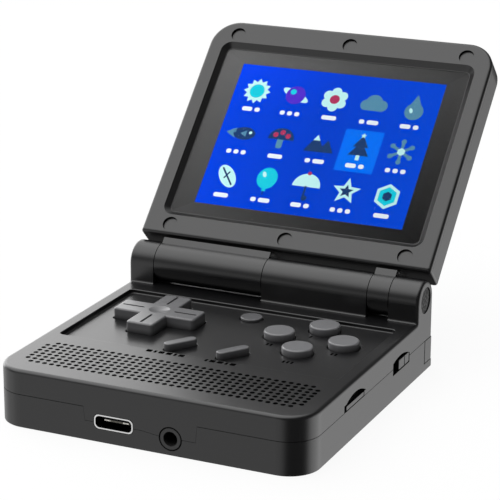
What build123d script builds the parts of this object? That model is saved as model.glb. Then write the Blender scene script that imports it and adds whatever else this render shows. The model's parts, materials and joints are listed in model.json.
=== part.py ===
"""A clamshell handheld game console, open on its hinge, in millimetres.

The frame: X to the player's right, Y from the front edge towards the hinge, Z up. The origin is the
middle of the base's footprint, on the surface it stands on. The lid is drawn in its own plane, which
turns about the hinge axis: there x is X, y runs from the axis along the lid, and z is the direction
that the screen faces.
"""
import os
from math import cos, radians, sin

from build123d import *

os.makedirs("parts", exist_ok=True)

# ---------------------------------------------------------------- overall sizes
base_width = 84.0
base_depth = 83.0
base_height = 14.9
hinge_rise = 4.95
hinge_radius = 5.35
lid_angle = 134.8
closing_gap = 1.1
lid_overhang = 0.25
lid_thickness = 8.5
lid_setback = 0.7
lid_start_gap = 1.25

# ---------------------------------------------------------------- walls and edges
base_wall = 1.6
panel_wall = 1.5
front_corner_radius = 8.0
edge_radius = 1.0
bottom_edge_radius = 0.25
foot_radius = 0.6
seam_height = 8.6
seam_gap = 0.14
tab_gap = 0.09
tab_side_gap = 0.04
lid_wall = 1.2
lid_back_wall = 1.4
lid_top_corner_radius = 8.0
lid_low_corner_radius = 0.8
lid_back_radius = 0.7
lid_front_radius = 1.0
lid_seam_gap = 0.06
frame_thickness = 1.55

# ---------------------------------------------------------------- hinge
left_ear_length = 7.3
right_ear_length = 8.4
short_knuckle_length = 6.2
centre_barrel_start = -2.5
knuckle_gap = 0.2
trough_clearance = 0.3
pin_radius = 2.0
pin_head_radius = 3.0
pin_head_thickness = 0.8
pin_grip = 2.4
running_clearance = 0.05
seat_clearance = 0.02
contact_gap = 0.05
end_cap_radius = 3.45
end_cap_thickness = 0.9
end_cap_recess = 0.3
cartridge_radius = 2.8
cartridge_length = 15.6
cam_shaft_radius = 1.5
cam_shaft_reach = 7.0
cable_bore_radius = 3.4
cable_bore_length = 12.4
neck_reach = 5.6
neck_back_step = 0.6
ribbon_radius = 2.9
ribbon_thickness = 0.3
ribbon_width = 8.0

# ---------------------------------------------------------------- control panel and controls
panel_inset = 3.8
panel_front_inset = 27.0
panel_rear_gap = 6.0
panel_depth = 1.1
panel_corner_radius = 1.2
panel_lip_radius = 0.25
panel_foot_radius = 0.35
opening_edge_radius = 0.15
control_gap = 0.25
control_flange = 0.8
flange_thickness = 0.9
flange_gap = 0.15

pad_inset = 20.7
pad_from_panel_rear = 16.4
pad_span = 23.2
pad_arm_width = 7.7
pad_height = 2.9
pad_gap = 0.36
pad_flange_radius = 12.6
pad_flange_drop = 1.05
pad_dish_radius = 2.8
pad_dish_depth = 0.45
pad_line_start = 4.3
pad_line_length = 6.4
pad_line_width = 0.7
pad_line_depth = 0.6
pad_ball_radius = 1.6

action_inset = 21.0
action_from_panel_rear = 14.9
action_spacing = 8.85
action_radius = 4.0
action_height = 1.95
action_edge_radius = 0.45

pill_spacing = 14.5
pill_from_panel_rear = 32.5
pill_length = 9.1
pill_width = 2.7
pill_turn = 56.0
pill_height = 1.9
pill_edge_radius = 0.35

menu_from_panel_rear = 5.4
menu_radius = 2.9
menu_height = 0.7

# ---------------------------------------------------------------- speaker grille
grille_columns = 39
grille_rows = 8
grille_pitch = 1.93
grille_hole_radius = 0.65
grille_from_front = 13.7

# ---------------------------------------------------------------- front sockets
usb_x = -8.3
usb_z = 5.35
usb_body_width = 8.94
usb_body_height = 3.26
usb_mouth_width = 10.4
usb_mouth_height = 3.6
usb_mouth_radius = 1.25
usb_mouth_depth = 0.9
usb_wall = 0.35
usb_length = 7.4
usb_tongue_width = 6.7
usb_tongue_thickness = 0.7
usb_tongue_setback = 1.7
usb_board_notch = 0.4
jack_x = 6.9
jack_z = 4.25
jack_bore_radius = 1.8
jack_barrel_radius = 2.75
jack_barrel_inside = 0.6
jack_bore_length = 13.5
jack_body_width = 6.6
jack_body_length = 12.4
jack_body_setback = 0.2
socket_gap = 0.25
tab_left = -16.4
tab_right = 13.9
tab_slant = 0.4
tab_usb_z = 5.1
tab_jack_z = 4.5

# ---------------------------------------------------------------- right side: card slot and power switch
card_slot_front = -19.2
card_slot_rear = -6.35
card_slot_top = 10.45
card_notch_front = -18.0
card_notch_rear = -5.3
card_notch_low = 9.9
card_notch_crown = 11.75
card_length = 15.0
card_width = 11.0
card_thickness = 1.0
card_rear_gap = 0.2
card_recess = 0.1
card_bottom = 8.72
card_socket_wall = 0.45
card_socket_margin = 0.8
switch_front = 13.2
switch_rear = 24.9
switch_low = 6.8
switch_front_shoulder = 10.05
switch_rear_shoulder = 9.4
switch_crown = 10.85
knob_length = 7.2
knob_height = 2.65
knob_gap = 0.15
knob_travel = 3.4
knob_recess = 0.1
knob_corner_radius = 0.4
knob_flange = 0.6
knob_slot_width = 0.45
knob_slot_depth = 0.5
knob_slot_from_front = 4.0
peg_reach = 3.4
peg_width = 1.6
peg_height = 1.0
peg_clearance = 0.3
switch_body_width = 4.0
switch_body_length = 9.2
switch_body_height = 2.6

# ---------------------------------------------------------------- shoulder buttons
shoulder_length = 17.5
shoulder_side_length = 4.9
shoulder_low = 2.1
shoulder_thickness = 2.2
shoulder_gap = 0.45
shoulder_line = 0.24
shoulder_boss_radius = 1.7
shoulder_pin_radius = 0.7
shoulder_travel = 0.35
shoulder_corner_radius = 0.4
shoulder_switch_inset = 8.0
shoulder_switch_height = 3.0

# ---------------------------------------------------------------- volume wheel on the left side
wheel_radius = 6.0
wheel_thickness = 2.2
wheel_proud = 0.7
wheel_y = -4.0
wheel_low = 3.2
wheel_teeth = 36

# ---------------------------------------------------------------- inside the base
board_thickness = 1.0
board_top = 7.9
board_clearance = 0.8
board_switch_notch = 3.8
rubber_sheet = 0.8
dome_top = 8.75
dome_radius = 2.2
battery_width = 50.0
battery_depth = 36.0
battery_thickness = 4.7
battery_y = -3.0
battery_rib = 1.0
cover_margin = 2.4
cover_plate = 0.75
cover_gap = 0.15
battery_gap = 0.4
speaker_width = 27.0
speaker_depth = 11.0
speaker_thickness = 3.4
speaker_x = 22.0
post_radius = 2.2
screw_radius = 0.85
screw_head_radius = 1.6
screw_head_thickness = 0.9
screw_seat = 2.6
screw_length = 8.5
cover_screw_length = 4.2
contacts_width = 9.0
contacts_depth = 2.2
contacts_height = 3.0
shield_width = 24.0
shield_depth = 12.0
shield_height = 2.2
front_post_x = 30.0
front_post_inset = 3.85
rear_post_inset = 5.2
rear_post_y = 27.2

# ---------------------------------------------------------------- screen
screen_width = 60.96
screen_height = 45.72
screen_centre = 41.35
window_border_side = 5.75
window_border_end = 3.95
bevel_run = 1.75
bevel_depth = 1.3
window_radius = 3.0
lens_gap = 0.12
lens_thickness = 0.6
glass_margin_side = 3.6
glass_margin_end = 2.35
glass_thickness = 1.25
backlight_thickness = 1.05
ledge_thickness = 1.2
tray_wall = 1.6
foam_width = 2.6
plug_radius = 2.0
plug_gap = 0.12
plug_recess = 0.65
plug_thickness = 0.5
lid_screw_inset_side = 7.7
lid_screw_inset_end = 4.45
lid_screw_inset_hinge = 3.3
lid_screw_length = 4.2
lid_boss_wall = 0.4
lid_boss_floor = 0.7

# ---------------------------------------------------------------- worked-out places
half_width = base_width / 2
half_depth = base_depth / 2
axis_y = half_depth - hinge_radius
ear_front = axis_y - hinge_radius
hinge_height = base_height + hinge_rise
lid_width = base_width + 2 * lid_overhang
lid_face = hinge_rise - closing_gap
lid_back = lid_face - lid_thickness
lid_start = hinge_radius + lid_start_gap
lid_end = axis_y + half_depth - lid_setback
lid_seam = lid_face - frame_thickness
lid_turn = radians(lid_angle)
upper_bottom = seam_height + seam_gap / 2
lower_top = seam_height - seam_gap / 2

long_knuckle = (-half_width + left_ear_length + knuckle_gap, centre_barrel_start - knuckle_gap)
centre_barrel = (centre_barrel_start, half_width - right_ear_length - short_knuckle_length)
short_knuckle = (centre_barrel[1] + knuckle_gap, half_width - right_ear_length - knuckle_gap)
left_ear = (-half_width, -half_width + left_ear_length)
right_ear = (half_width - right_ear_length, half_width)

panel_floor = base_height - panel_depth
panel_ceiling = panel_floor - panel_wall
outer_ceiling = base_height - base_wall
panel_front = -half_depth + panel_front_inset
panel_rear = ear_front - panel_rear_gap
panel_middle = (panel_front + panel_rear) / 2
panel_half_width = half_width - panel_inset
flange_top = panel_ceiling - flange_gap
flange_bottom = flange_top - flange_thickness

pad_x = -half_width + pad_inset
pad_y = panel_rear - pad_from_panel_rear
pad_top = panel_floor + pad_height
pad_flange_top = panel_ceiling - pad_flange_drop
pad_flange_bottom = pad_flange_top - flange_thickness
pad_ball_z = board_top + contact_gap + pad_ball_radius
action_x = half_width - action_inset
action_y = panel_rear - action_from_panel_rear
action_places = {
    "left": (action_x - action_spacing, action_y),
    "right": (action_x + action_spacing, action_y),
    "front": (action_x, action_y - action_spacing),
    "rear": (action_x, action_y + action_spacing),
}
pill_y = panel_rear - pill_from_panel_rear
pill_places = {"left": (-pill_spacing / 2, pill_y), "right": (pill_spacing / 2, pill_y)}
menu_place = (0, panel_rear - menu_from_panel_rear)
grille_y = -half_depth + grille_from_front
board_bottom = board_top - board_thickness
rubber_top = board_top + rubber_sheet
rear_post_x = half_width - rear_post_inset
front_post_y = -half_depth + front_post_inset
posts = [(side * front_post_x, front_post_y) for side in (-1, 1)]
posts += [(side * rear_post_x, rear_post_y) for side in (-1, 1)]
shoulder_inner = half_width - shoulder_length
shoulder_pivot = (shoulder_inner + shoulder_boss_radius, half_depth - shoulder_thickness)
wheel_x = -half_width - wheel_proud + wheel_radius
wheel_top = wheel_low + wheel_thickness

# ---------------------------------------------------------------- worked-out places in the lid
lens_half_width = screen_width / 2 + window_border_side
lens_half_height = screen_height / 2 + window_border_end
bevel_foot = lid_face - bevel_depth
lens_front = bevel_foot - lens_gap
lens_rear = lens_front - lens_thickness
glass_front = lens_rear - contact_gap
glass_rear = glass_front - glass_thickness
glass_half_width = screen_width / 2 + glass_margin_side
glass_half_height = screen_height / 2 + glass_margin_end
backlight_rear = glass_rear - contact_gap - backlight_thickness
tray_rear = lens_rear - ledge_thickness
lid_floor = lid_back + lid_back_wall
plug_top = lid_face - plug_recess
plug_bottom = plug_top - plug_thickness
lid_screw_seat = plug_bottom - screw_head_thickness - contact_gap
lid_screw_x = half_width - lid_screw_inset_side
lid_screws_at = [(x, lid_end - lid_screw_inset_end) for x in (-lid_screw_x, 0, lid_screw_x)]
lid_screws_at += [(x, lid_start + lid_screw_inset_hinge) for x in (-lid_screw_x, 0, lid_screw_x)]

front_face = Plane.XZ.offset(half_depth)
lid_plane = Plane(
    origin=(0, axis_y, hinge_height), x_dir=(1, 0, 0), z_dir=(0, -sin(lid_turn), -cos(lid_turn))
)
lid_depth_axis = Axis(lid_plane.origin, lid_plane.z_dir)


def side_plane(x):
    """A plane across the console at x, drawn in Y and Z, whose extrusions run towards +X."""
    return Plane.YZ.offset(x)


def base_outline(inset):
    """The base's plan: round front corners, square rear ones under the hinge ears."""
    with BuildSketch() as outline:
        Rectangle(base_width - 2 * inset, base_depth - 2 * inset)
        fillet(outline.vertices().group_by(Axis.Y)[0], front_corner_radius - inset)
    return outline.sketch


def lid_outline(inset):
    """The lid's outline in its own plane, with large corners at the free end."""
    with BuildSketch() as outline:
        with Locations((0, (lid_start + lid_end) / 2)):
            Rectangle(lid_width - 2 * inset, lid_end - lid_start - 2 * inset)
        fillet(outline.vertices().group_by(Axis.Y)[-1], lid_top_corner_radius - inset)
        fillet(outline.vertices().group_by(Axis.Y)[0], max(lid_low_corner_radius - inset, 0.3))
    return outline.sketch


def screen_outline(half_w, half_h, radius):
    """A rounded rectangle about the middle of the screen, in the lid's plane."""
    with BuildSketch() as outline:
        with Locations((0, screen_centre)):
            RectangleRounded(2 * half_w, 2 * half_h, radius)
    return outline.sketch


def plus_outline(span, arm_width, outer_radius, inner_radius):
    """A plus with round corners, about the middle of the direction pad."""
    with BuildSketch() as outline:
        with Locations((pad_x, pad_y)):
            Rectangle(span, arm_width)
            Rectangle(arm_width, span)
        corners = outline.vertices()
        reach = arm_width / 2 + 0.01
        inner = corners.filter_by(lambda v: abs(v.X - pad_x) < reach and abs(v.Y - pad_y) < reach)
        outer = corners.filter_by(lambda v: max(abs(v.X - pad_x), abs(v.Y - pad_y)) > reach)
        fillet(outer, outer_radius)
        fillet(inner, inner_radius)
    return outline.sketch


def barrel_profile():
    """Hinge barrel with a straight front face down to the base's top, drawn in Y and Z."""
    root_depth = base_wall / 2
    with BuildSketch() as profile:
        with Locations((axis_y, hinge_height)):
            Circle(hinge_radius)
        with Locations((axis_y, (hinge_height + base_height - root_depth) / 2)):
            Rectangle(2 * hinge_radius, hinge_height - base_height + root_depth)
    return profile.sketch


def front_tab_outline(side_gap, gap):
    """The part of the upper shell that hangs down over the sockets, drawn in X and Z."""
    step = 1.0
    with BuildSketch() as tab:
        with BuildLine():
            Polyline(
                (tab_left - side_gap, seam_height + step),
                (tab_left - side_gap, seam_height),
                (tab_left - side_gap + tab_slant, tab_usb_z - gap),
                ((usb_x + jack_x) / 2, tab_usb_z - gap),
                (jack_x - jack_barrel_radius, tab_jack_z - gap),
                (tab_right + side_gap - tab_slant, tab_jack_z - gap),
                (tab_right + side_gap, seam_height),
                (tab_right + side_gap, seam_height + step),
                close=True,
            )
        make_face()
    return tab.sketch


def switch_opening():
    """The power switch's opening: a flat sill and an arched head, drawn in Y and Z."""
    with BuildSketch() as opening:
        with BuildLine():
            Polyline(
                (switch_front, switch_front_shoulder),
                (switch_front, switch_low),
                (switch_rear, switch_low),
                (switch_rear, switch_rear_shoulder),
            )
            ThreePointArc(
                (switch_rear, switch_rear_shoulder),
                ((switch_front + switch_rear) / 2, switch_crown),
                (switch_front, switch_front_shoulder),
            )
        make_face()
    return opening.sketch


def card_opening():
    """The card slot with its finger notch above, drawn in Y and Z."""
    with BuildSketch() as opening:
        with BuildLine():
            Polyline(
                (card_notch_front, card_slot_top),
                (card_slot_front, card_slot_top),
                (card_slot_front, seam_height - 1),
                (card_slot_rear, seam_height - 1),
                (card_slot_rear, card_notch_low),
                (card_notch_rear, card_notch_low),
            )
            ThreePointArc(
                (card_notch_rear, card_notch_low),
                ((card_notch_front + card_notch_rear) / 2, card_notch_crown),
                (card_notch_front, card_slot_top),
            )
        make_face()
    return opening.sketch


def usb_outline(width, height, radius):
    """The socket's rounded outline, drawn in X and Z."""
    with BuildSketch() as outline:
        with Locations((usb_x, usb_z)):
            RectangleRounded(width, height, radius)
    return outline.sketch


def shoulder_outline(side, gap):
    """Plan of a shoulder button: along the rear edge and round the corner. gap opens it up."""
    rear_far = half_depth + (1.0 if gap else 0.0)
    side_far = half_width + (1.0 if gap else 0.0)
    inner_x = shoulder_inner - gap / 2
    inner_y = half_depth - shoulder_thickness - gap
    with BuildSketch() as outline:
        with BuildLine():
            Polyline(
                (side * inner_x, rear_far),
                (side * side_far, rear_far),
                (side * side_far, half_depth - shoulder_side_length - gap),
                (side * (half_width - shoulder_thickness - gap), half_depth - shoulder_side_length - gap),
                (side * (half_width - shoulder_thickness - gap), inner_y),
                (side * inner_x, inner_y),
                close=True,
            )
        make_face()
    return outline.sketch


# ================================================================ base: upper shell
with BuildPart() as base_upper:
    with BuildSketch(Plane.XY.offset(upper_bottom)):
        add(base_outline(0))
    extrude(amount=base_height - upper_bottom)
    for start, end in (left_ear, centre_barrel, right_ear):
        with BuildSketch(side_plane(start)):
            add(barrel_profile())
        extrude(amount=end - start)
    feet = base_upper.edges().filter_by(Axis.X).filter_by(
        lambda e: abs(e.center().Y - ear_front) < 0.01 and abs(e.center().Z - base_height) < 0.01
    )
    fillet(feet, foot_radius)
    rim = base_upper.edges().filter_by(
        lambda e: e.center().Z > upper_bottom + 0.1
        and (
            abs(abs(e.center().X) - half_width) < 0.01
            or e.center().Y < -half_depth + front_corner_radius
        )
        and not (e.center().Y < 0 and abs(e.tangent_at(0.5).Z) > 0.9)
    )
    fillet(rim, edge_radius)
    # hollow inside: lower under the control panel, higher under the grille
    with BuildSketch(Plane.XY.offset(upper_bottom)):
        add(base_outline(base_wall))
    extrude(amount=panel_ceiling - upper_bottom, mode=Mode.SUBTRACT)
    with BuildSketch(Plane.XY.offset(panel_ceiling)):
        add(base_outline(base_wall))
        with Locations((0, half_depth + panel_front - base_wall)):
            Rectangle(2 * base_width, base_depth, mode=Mode.SUBTRACT)
    extrude(amount=outer_ceiling - panel_ceiling, mode=Mode.SUBTRACT)
    # recessed control panel
    with BuildSketch(Plane.XY.offset(panel_floor)):
        with Locations((0, panel_middle)):
            RectangleRounded(2 * panel_half_width, panel_rear - panel_front, panel_corner_radius)
    extrude(amount=2 * panel_depth, mode=Mode.SUBTRACT)
    recess_edges = base_upper.edges().filter_by(
        lambda e: e.bounding_box().min.Y > panel_front - 0.01
        and e.bounding_box().max.Y < panel_rear + 0.01
        and abs(e.center().X) < panel_half_width + 0.01
    )
    fillet(recess_edges.filter_by(lambda e: abs(e.center().Z - base_height) < 0.01), panel_lip_radius)
    fillet(recess_edges.filter_by(lambda e: abs(e.center().Z - panel_floor) < 0.01), panel_foot_radius)
    # openings for the controls
    with BuildSketch(Plane.XY.offset(panel_ceiling)):
        add(plus_outline(pad_span + 2 * pad_gap, pad_arm_width + 2 * pad_gap, 1.2, 0.5))
        with Locations(*action_places.values()):
            Circle(action_radius + control_gap)
        with Locations(*pill_places.values()):
            SlotOverall(pill_length + 2 * control_gap, pill_width + 2 * control_gap, rotation=pill_turn)
        with Locations(menu_place):
            Circle(menu_radius + control_gap)
    extrude(amount=2 * panel_wall, mode=Mode.SUBTRACT)
    openings = base_upper.edges().filter_by(
        lambda e: abs(e.center().Z - panel_floor) < 0.01
        and e.bounding_box().min.Y > panel_front + 1
        and e.bounding_box().max.Y < panel_rear - 1
        and abs(e.center().X) < panel_half_width - 1
    )
    fillet(openings, opening_edge_radius)
    # speaker grille without its four corner holes
    corner_x = (grille_columns - 1) * grille_pitch / 2
    corner_y = (grille_rows - 1) * grille_pitch / 2
    with BuildSketch(Plane.XY.offset(outer_ceiling)):
        with Locations((0, grille_y)):
            with GridLocations(grille_pitch, grille_pitch, grille_columns, grille_rows):
                Circle(grille_hole_radius)
            with GridLocations(2 * corner_x, 2 * corner_y, 2, 2):
                Circle(grille_pitch / 2, mode=Mode.SUBTRACT)
    extrude(amount=2 * base_wall, mode=Mode.SUBTRACT)
    # shallow troughs in which the lid's knuckles turn
    for start, end in (long_knuckle, short_knuckle):
        with BuildSketch(side_plane(start - knuckle_gap)):
            with Locations((axis_y, hinge_height)):
                Circle(hinge_radius + trough_clearance)
        extrude(amount=end - start + 2 * knuckle_gap, mode=Mode.SUBTRACT)
    # tab over the front sockets
    with BuildSketch(front_face):
        add(front_tab_outline(0, 0))
        with Locations((0, base_height)):
            Rectangle(base_width, 2 * (base_height - seam_height - 0.5), mode=Mode.SUBTRACT)
    extrude(amount=-base_wall)
    # bosses over the posts, drilled for the case screws
    with BuildSketch(Plane.XY.offset(board_top + contact_gap)):
        with Locations(*posts):
            Circle(post_radius)
    extrude(until=Until.NEXT)
    with BuildSketch(Plane.XY.offset(board_top)):
        with Locations(*posts):
            Circle(screw_radius + seat_clearance)
    extrude(amount=panel_ceiling - board_top - 1.0, mode=Mode.SUBTRACT)
    # sockets, card slot and power switch
    with BuildSketch(front_face):
        add(usb_outline(usb_mouth_width + socket_gap, usb_mouth_height + socket_gap, usb_mouth_radius))
        with Locations((jack_x, jack_z)):
            Circle(jack_barrel_radius + socket_gap)
    extrude(amount=-2 * base_wall, mode=Mode.SUBTRACT)
    with BuildSketch(side_plane(half_width - 2 * base_wall)):
        add(card_opening())
        add(switch_opening())
    extrude(amount=3 * base_wall, mode=Mode.SUBTRACT)
    # hinge bores, from the ends inwards
    for sign, (start, end) in ((-1, left_ear), (1, right_ear)):
        with BuildSketch(side_plane(start - 1)):
            with Locations((axis_y, hinge_height)):
                Circle(pin_radius + seat_clearance)
        extrude(amount=end - start + 2, mode=Mode.SUBTRACT)
        cap_depth = end_cap_recess + end_cap_thickness + pin_head_thickness + 2 * contact_gap
        outer_x = sign * half_width
        with BuildSketch(side_plane(min(outer_x, outer_x - sign * cap_depth))):
            with Locations((axis_y, hinge_height)):
                Circle(end_cap_radius + contact_gap)
        extrude(amount=cap_depth, mode=Mode.SUBTRACT)
    with BuildSketch(side_plane(centre_barrel[1] - cartridge_length - contact_gap)):
        with Locations((axis_y, hinge_height)):
            Circle(cartridge_radius + seat_clearance)
    extrude(amount=cartridge_length + 1, mode=Mode.SUBTRACT)
    cable_end = centre_barrel[1] - cartridge_length - 1.0
    with BuildSketch(side_plane(centre_barrel[0] - 0.1)):
        with Locations((axis_y, hinge_height)):
            Circle(cable_bore_radius)
    extrude(amount=cable_end - centre_barrel[0] + 0.1, mode=Mode.SUBTRACT)
    # slot that lets the ribbon down into the base
    with BuildSketch(Plane.XY.offset(panel_ceiling - 0.1)):
        with Locations(((centre_barrel[0] + cable_end) / 2, axis_y)):
            Rectangle(cable_end - centre_barrel[0] - 3.0, 2.4)
    extrude(amount=hinge_height - panel_ceiling, mode=Mode.SUBTRACT)
base_upper.part.label = "base_upper_shell"
export_step(base_upper.part, "parts/base_upper_shell.step")

# ================================================================ base: lower shell
bay_width = battery_width + 2 * battery_gap
bay_depth = battery_depth + 2 * battery_gap
cover_width = battery_width + 2 * cover_margin
cover_depth = battery_depth + 2 * cover_margin
cover_screws_at = [(side * (cover_width / 2 - cover_margin / 2), battery_y) for side in (-1, 1)]

with BuildPart() as base_lower:
    with BuildSketch():
        add(base_outline(0))
    extrude(amount=lower_top)
    fillet(base_lower.faces().sort_by(Axis.Z)[0].edges(), bottom_edge_radius)
    with BuildSketch(Plane.XY.offset(base_wall)):
        add(base_outline(base_wall))
    extrude(amount=base_height, mode=Mode.SUBTRACT)
    # posts under the board, and the ribs round the battery
    with BuildSketch(Plane.XY.offset(base_wall / 2)):
        with Locations(*posts):
            Circle(post_radius)
        with Locations((0, battery_y)):
            Rectangle(bay_width + 2 * battery_rib, bay_depth + 2 * battery_rib)
        with Locations(*cover_screws_at):
            Circle(post_radius)
    extrude(amount=board_bottom - contact_gap - base_wall / 2)
    with BuildSketch(Plane.XY):
        with Locations((0, battery_y)):
            Rectangle(bay_width, bay_depth)
    extrude(amount=base_height, mode=Mode.SUBTRACT)
    with BuildSketch(Plane.XY):
        with Locations((0, battery_y)):
            RectangleRounded(cover_width, cover_depth, 2.0)
    extrude(amount=cover_plate + cover_gap, mode=Mode.SUBTRACT)
    # screw holes, from below
    with BuildSketch(Plane.XY):
        with Locations(*posts):
            Circle(screw_head_radius + 0.15)
    extrude(amount=screw_seat + contact_gap, mode=Mode.SUBTRACT)
    with BuildSketch(Plane.XY):
        with Locations(*posts):
            Circle(screw_radius + 0.15)
    extrude(amount=base_height, mode=Mode.SUBTRACT)
    with BuildSketch(Plane.XY):
        with Locations(*cover_screws_at):
            Circle(screw_radius + seat_clearance)
    extrude(amount=board_bottom - 1.0, mode=Mode.SUBTRACT)
    # front sockets and the place of the upper shell's tab
    with BuildSketch(front_face):
        add(front_tab_outline(tab_side_gap, tab_gap))
    extrude(amount=-2 * base_wall, mode=Mode.SUBTRACT)
    with BuildSketch(front_face):
        add(usb_outline(usb_mouth_width + socket_gap, usb_mouth_height + socket_gap, usb_mouth_radius))
        with Locations((jack_x, jack_z)):
            Circle(jack_barrel_radius + socket_gap)
    extrude(amount=-2 * base_wall, mode=Mode.SUBTRACT)
    # power switch and the bottom of the card slot
    with BuildSketch(side_plane(half_width - 2 * base_wall)):
        add(switch_opening())
    extrude(amount=3 * base_wall, mode=Mode.SUBTRACT)
    # window for the volume wheel
    with BuildSketch(side_plane(-half_width - base_wall)):
        with Locations((wheel_y, (wheel_low + wheel_top) / 2)):
            Rectangle(2 * wheel_radius - 1.2, wheel_thickness + 0.6)
    extrude(amount=3 * base_wall, mode=Mode.SUBTRACT)
    # openings and pivot pins of the shoulder buttons
    for side in (-1, 1):
        with BuildSketch(Plane.XY.offset(shoulder_low)):
            add(shoulder_outline(side, shoulder_gap))
        extrude(amount=base_height, mode=Mode.SUBTRACT)
        with BuildSketch(Plane.XY.offset(base_wall / 2)):
            with Locations((side * shoulder_pivot[0], shoulder_pivot[1])):
                Circle(shoulder_pin_radius)
        extrude(amount=lower_top - 0.3 - base_wall / 2)
base_lower.part.label = "base_lower_shell"
export_step(base_lower.part, "parts/base_lower_shell.step")

with BuildPart() as cover:
    with BuildSketch(Plane.XY):
        with Locations((0, battery_y)):
            RectangleRounded(cover_width - 2 * cover_gap, cover_depth - 2 * cover_gap, 2.0 - cover_gap)
        with Locations(*cover_screws_at):
            Circle(screw_radius + 0.1, mode=Mode.SUBTRACT)
    extrude(amount=cover_plate)
cover.part.label = "battery_cover"
export_step(cover.part, "parts/battery_cover.step")

with BuildPart() as cover_screws:
    with BuildSketch(Plane.XY.offset(contact_gap)):
        with Locations(*cover_screws_at):
            Circle(screw_radius)
    extrude(amount=cover_screw_length)
cover_screws.part.label = "cover_screws"
export_step(cover_screws.part, "parts/cover_screws.step")

with BuildPart() as battery:
    with BuildSketch(Plane.XY.offset(cover_plate + cover_gap)):
        with Locations((0, battery_y)):
            RectangleRounded(battery_width, battery_depth, 1.5)
    extrude(amount=battery_thickness)
    fillet(battery.edges().filter_by(Plane.XY), 0.5)
battery.part.label = "battery"
export_step(battery.part, "parts/battery.step")

contacts_front = battery_y - bay_depth / 2 - battery_rib - contacts_depth - 0.4
with BuildPart() as contacts:
    with BuildSketch(Plane.XY.offset(board_bottom - contact_gap - contacts_height)):
        with Locations((-2.5, contacts_front + contacts_depth / 2)):
            Rectangle(contacts_width, contacts_depth)
    extrude(amount=contacts_height)
contacts.part.label = "battery_connector"
export_step(contacts.part, "parts/battery_connector.step")

with BuildPart() as case_screws:
    with BuildSketch(Plane.XY.offset(screw_seat)):
        with Locations(*posts):
            Circle(screw_head_radius)
    extrude(amount=-screw_head_thickness)
    with BuildSketch(Plane.XY.offset(screw_seat - screw_head_thickness / 2)):
        with Locations(*posts):
            Circle(screw_radius)
    extrude(amount=screw_length)
    with BuildSketch(Plane.XY.offset(screw_seat - screw_head_thickness)):
        with Locations(*posts):
            Rectangle(1.6, 0.4)
            Rectangle(0.4, 1.6)
    extrude(amount=0.5, mode=Mode.SUBTRACT)
case_screws.part.label = "case_screws"
export_step(case_screws.part, "parts/case_screws.step")

# ================================================================ base: board and what stands on it
knob_y = switch_rear - knob_gap - knob_length / 2
with BuildPart() as board:
    with BuildSketch(Plane.XY.offset(board_bottom)):
        add(base_outline(base_wall + board_clearance))
        with Locations(*posts):
            Circle(screw_radius + 0.25, mode=Mode.SUBTRACT)
        for side in (-1, 1):
            with Locations((side * half_width, half_depth)):
                Rectangle(
                    2 * (shoulder_length + 1.2),
                    2 * (shoulder_thickness + shoulder_boss_radius + 0.6),
                    mode=Mode.SUBTRACT,
                )
        with Locations((half_width, (switch_front + switch_rear) / 2)):
            Rectangle(2 * board_switch_notch, switch_rear - switch_front + 2.0, mode=Mode.SUBTRACT)
        with Locations((usb_x, -half_depth)):
            Rectangle(
                usb_body_width + 2 * usb_board_notch, 2 * (usb_length + usb_board_notch), mode=Mode.SUBTRACT
            )
    extrude(amount=board_thickness)
board.part.label = "main_board"
export_step(board.part, "parts/main_board.step")

with BuildPart() as shield:
    with BuildSketch(Plane.XY.offset(board_top + contact_gap)):
        with Locations((-18.0, 30.5)):
            RectangleRounded(shield_width, shield_depth, 0.8)
    extrude(amount=shield_height)
    fillet(shield.faces().sort_by(Axis.Z)[-1].edges(), 0.3)
shield.part.label = "shield_can"
export_step(shield.part, "parts/shield_can.step")

for side, name in ((-1, "left"), (1, "right")):
    with BuildPart() as speaker:
        with BuildSketch(Plane.XY.offset(outer_ceiling - 2 * contact_gap)):
            with Locations((side * speaker_x, grille_y)):
                RectangleRounded(speaker_width, speaker_depth, 2.0)
        extrude(amount=-speaker_thickness)
        with BuildSketch(Plane.XY.offset(outer_ceiling - 2 * contact_gap)):
            with Locations((side * speaker_x, grille_y)):
                SlotOverall(speaker_width - 3.0, speaker_depth - 2.4)
        extrude(amount=-0.7, taper=25, mode=Mode.SUBTRACT)
    speaker.part.label = f"speaker_{name}"
    export_step(speaker.part, f"parts/speaker_{name}.step")

# ================================================================ base: sockets at the front
usb_mouth = (usb_mouth_width - 2 * usb_wall, usb_mouth_height - 2 * usb_wall, usb_mouth_radius - 0.2)
usb_bore = (usb_body_width - 2 * usb_wall, usb_body_height - 2 * usb_wall, usb_mouth_radius - 0.1)
with BuildPart() as usb_shell:
    with BuildSketch(front_face):
        add(usb_outline(usb_mouth_width, usb_mouth_height, usb_mouth_radius))
    extrude(amount=-usb_mouth_depth)
    with BuildSketch(front_face.offset(-usb_mouth_depth / 2)):
        add(usb_outline(usb_body_width, usb_body_height, usb_mouth_radius))
    extrude(amount=usb_mouth_depth / 2 - usb_length)
    with BuildSketch(front_face.offset(-usb_mouth_depth)):
        add(usb_outline(*usb_bore))
    extrude(amount=usb_mouth_depth + usb_wall - usb_length, mode=Mode.SUBTRACT)
    with BuildSketch(front_face):
        add(usb_outline(*usb_mouth))
    with BuildSketch(front_face.offset(-usb_mouth_depth)):
        add(usb_outline(*usb_bore))
    loft(mode=Mode.SUBTRACT)
usb_shell.part.label = "usb_socket_shell"
export_step(usb_shell.part, "parts/usb_socket_shell.step")

with BuildPart() as usb_tongue:
    with BuildSketch(front_face.offset(-usb_tongue_setback)):
        with Locations((usb_x, usb_z)):
            RectangleRounded(usb_tongue_width, usb_tongue_thickness, 0.2)
    extrude(amount=usb_tongue_setback + usb_wall + contact_gap - usb_length)
usb_tongue.part.label = "usb_socket_tongue"
export_step(usb_tongue.part, "parts/usb_socket_tongue.step")

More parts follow.
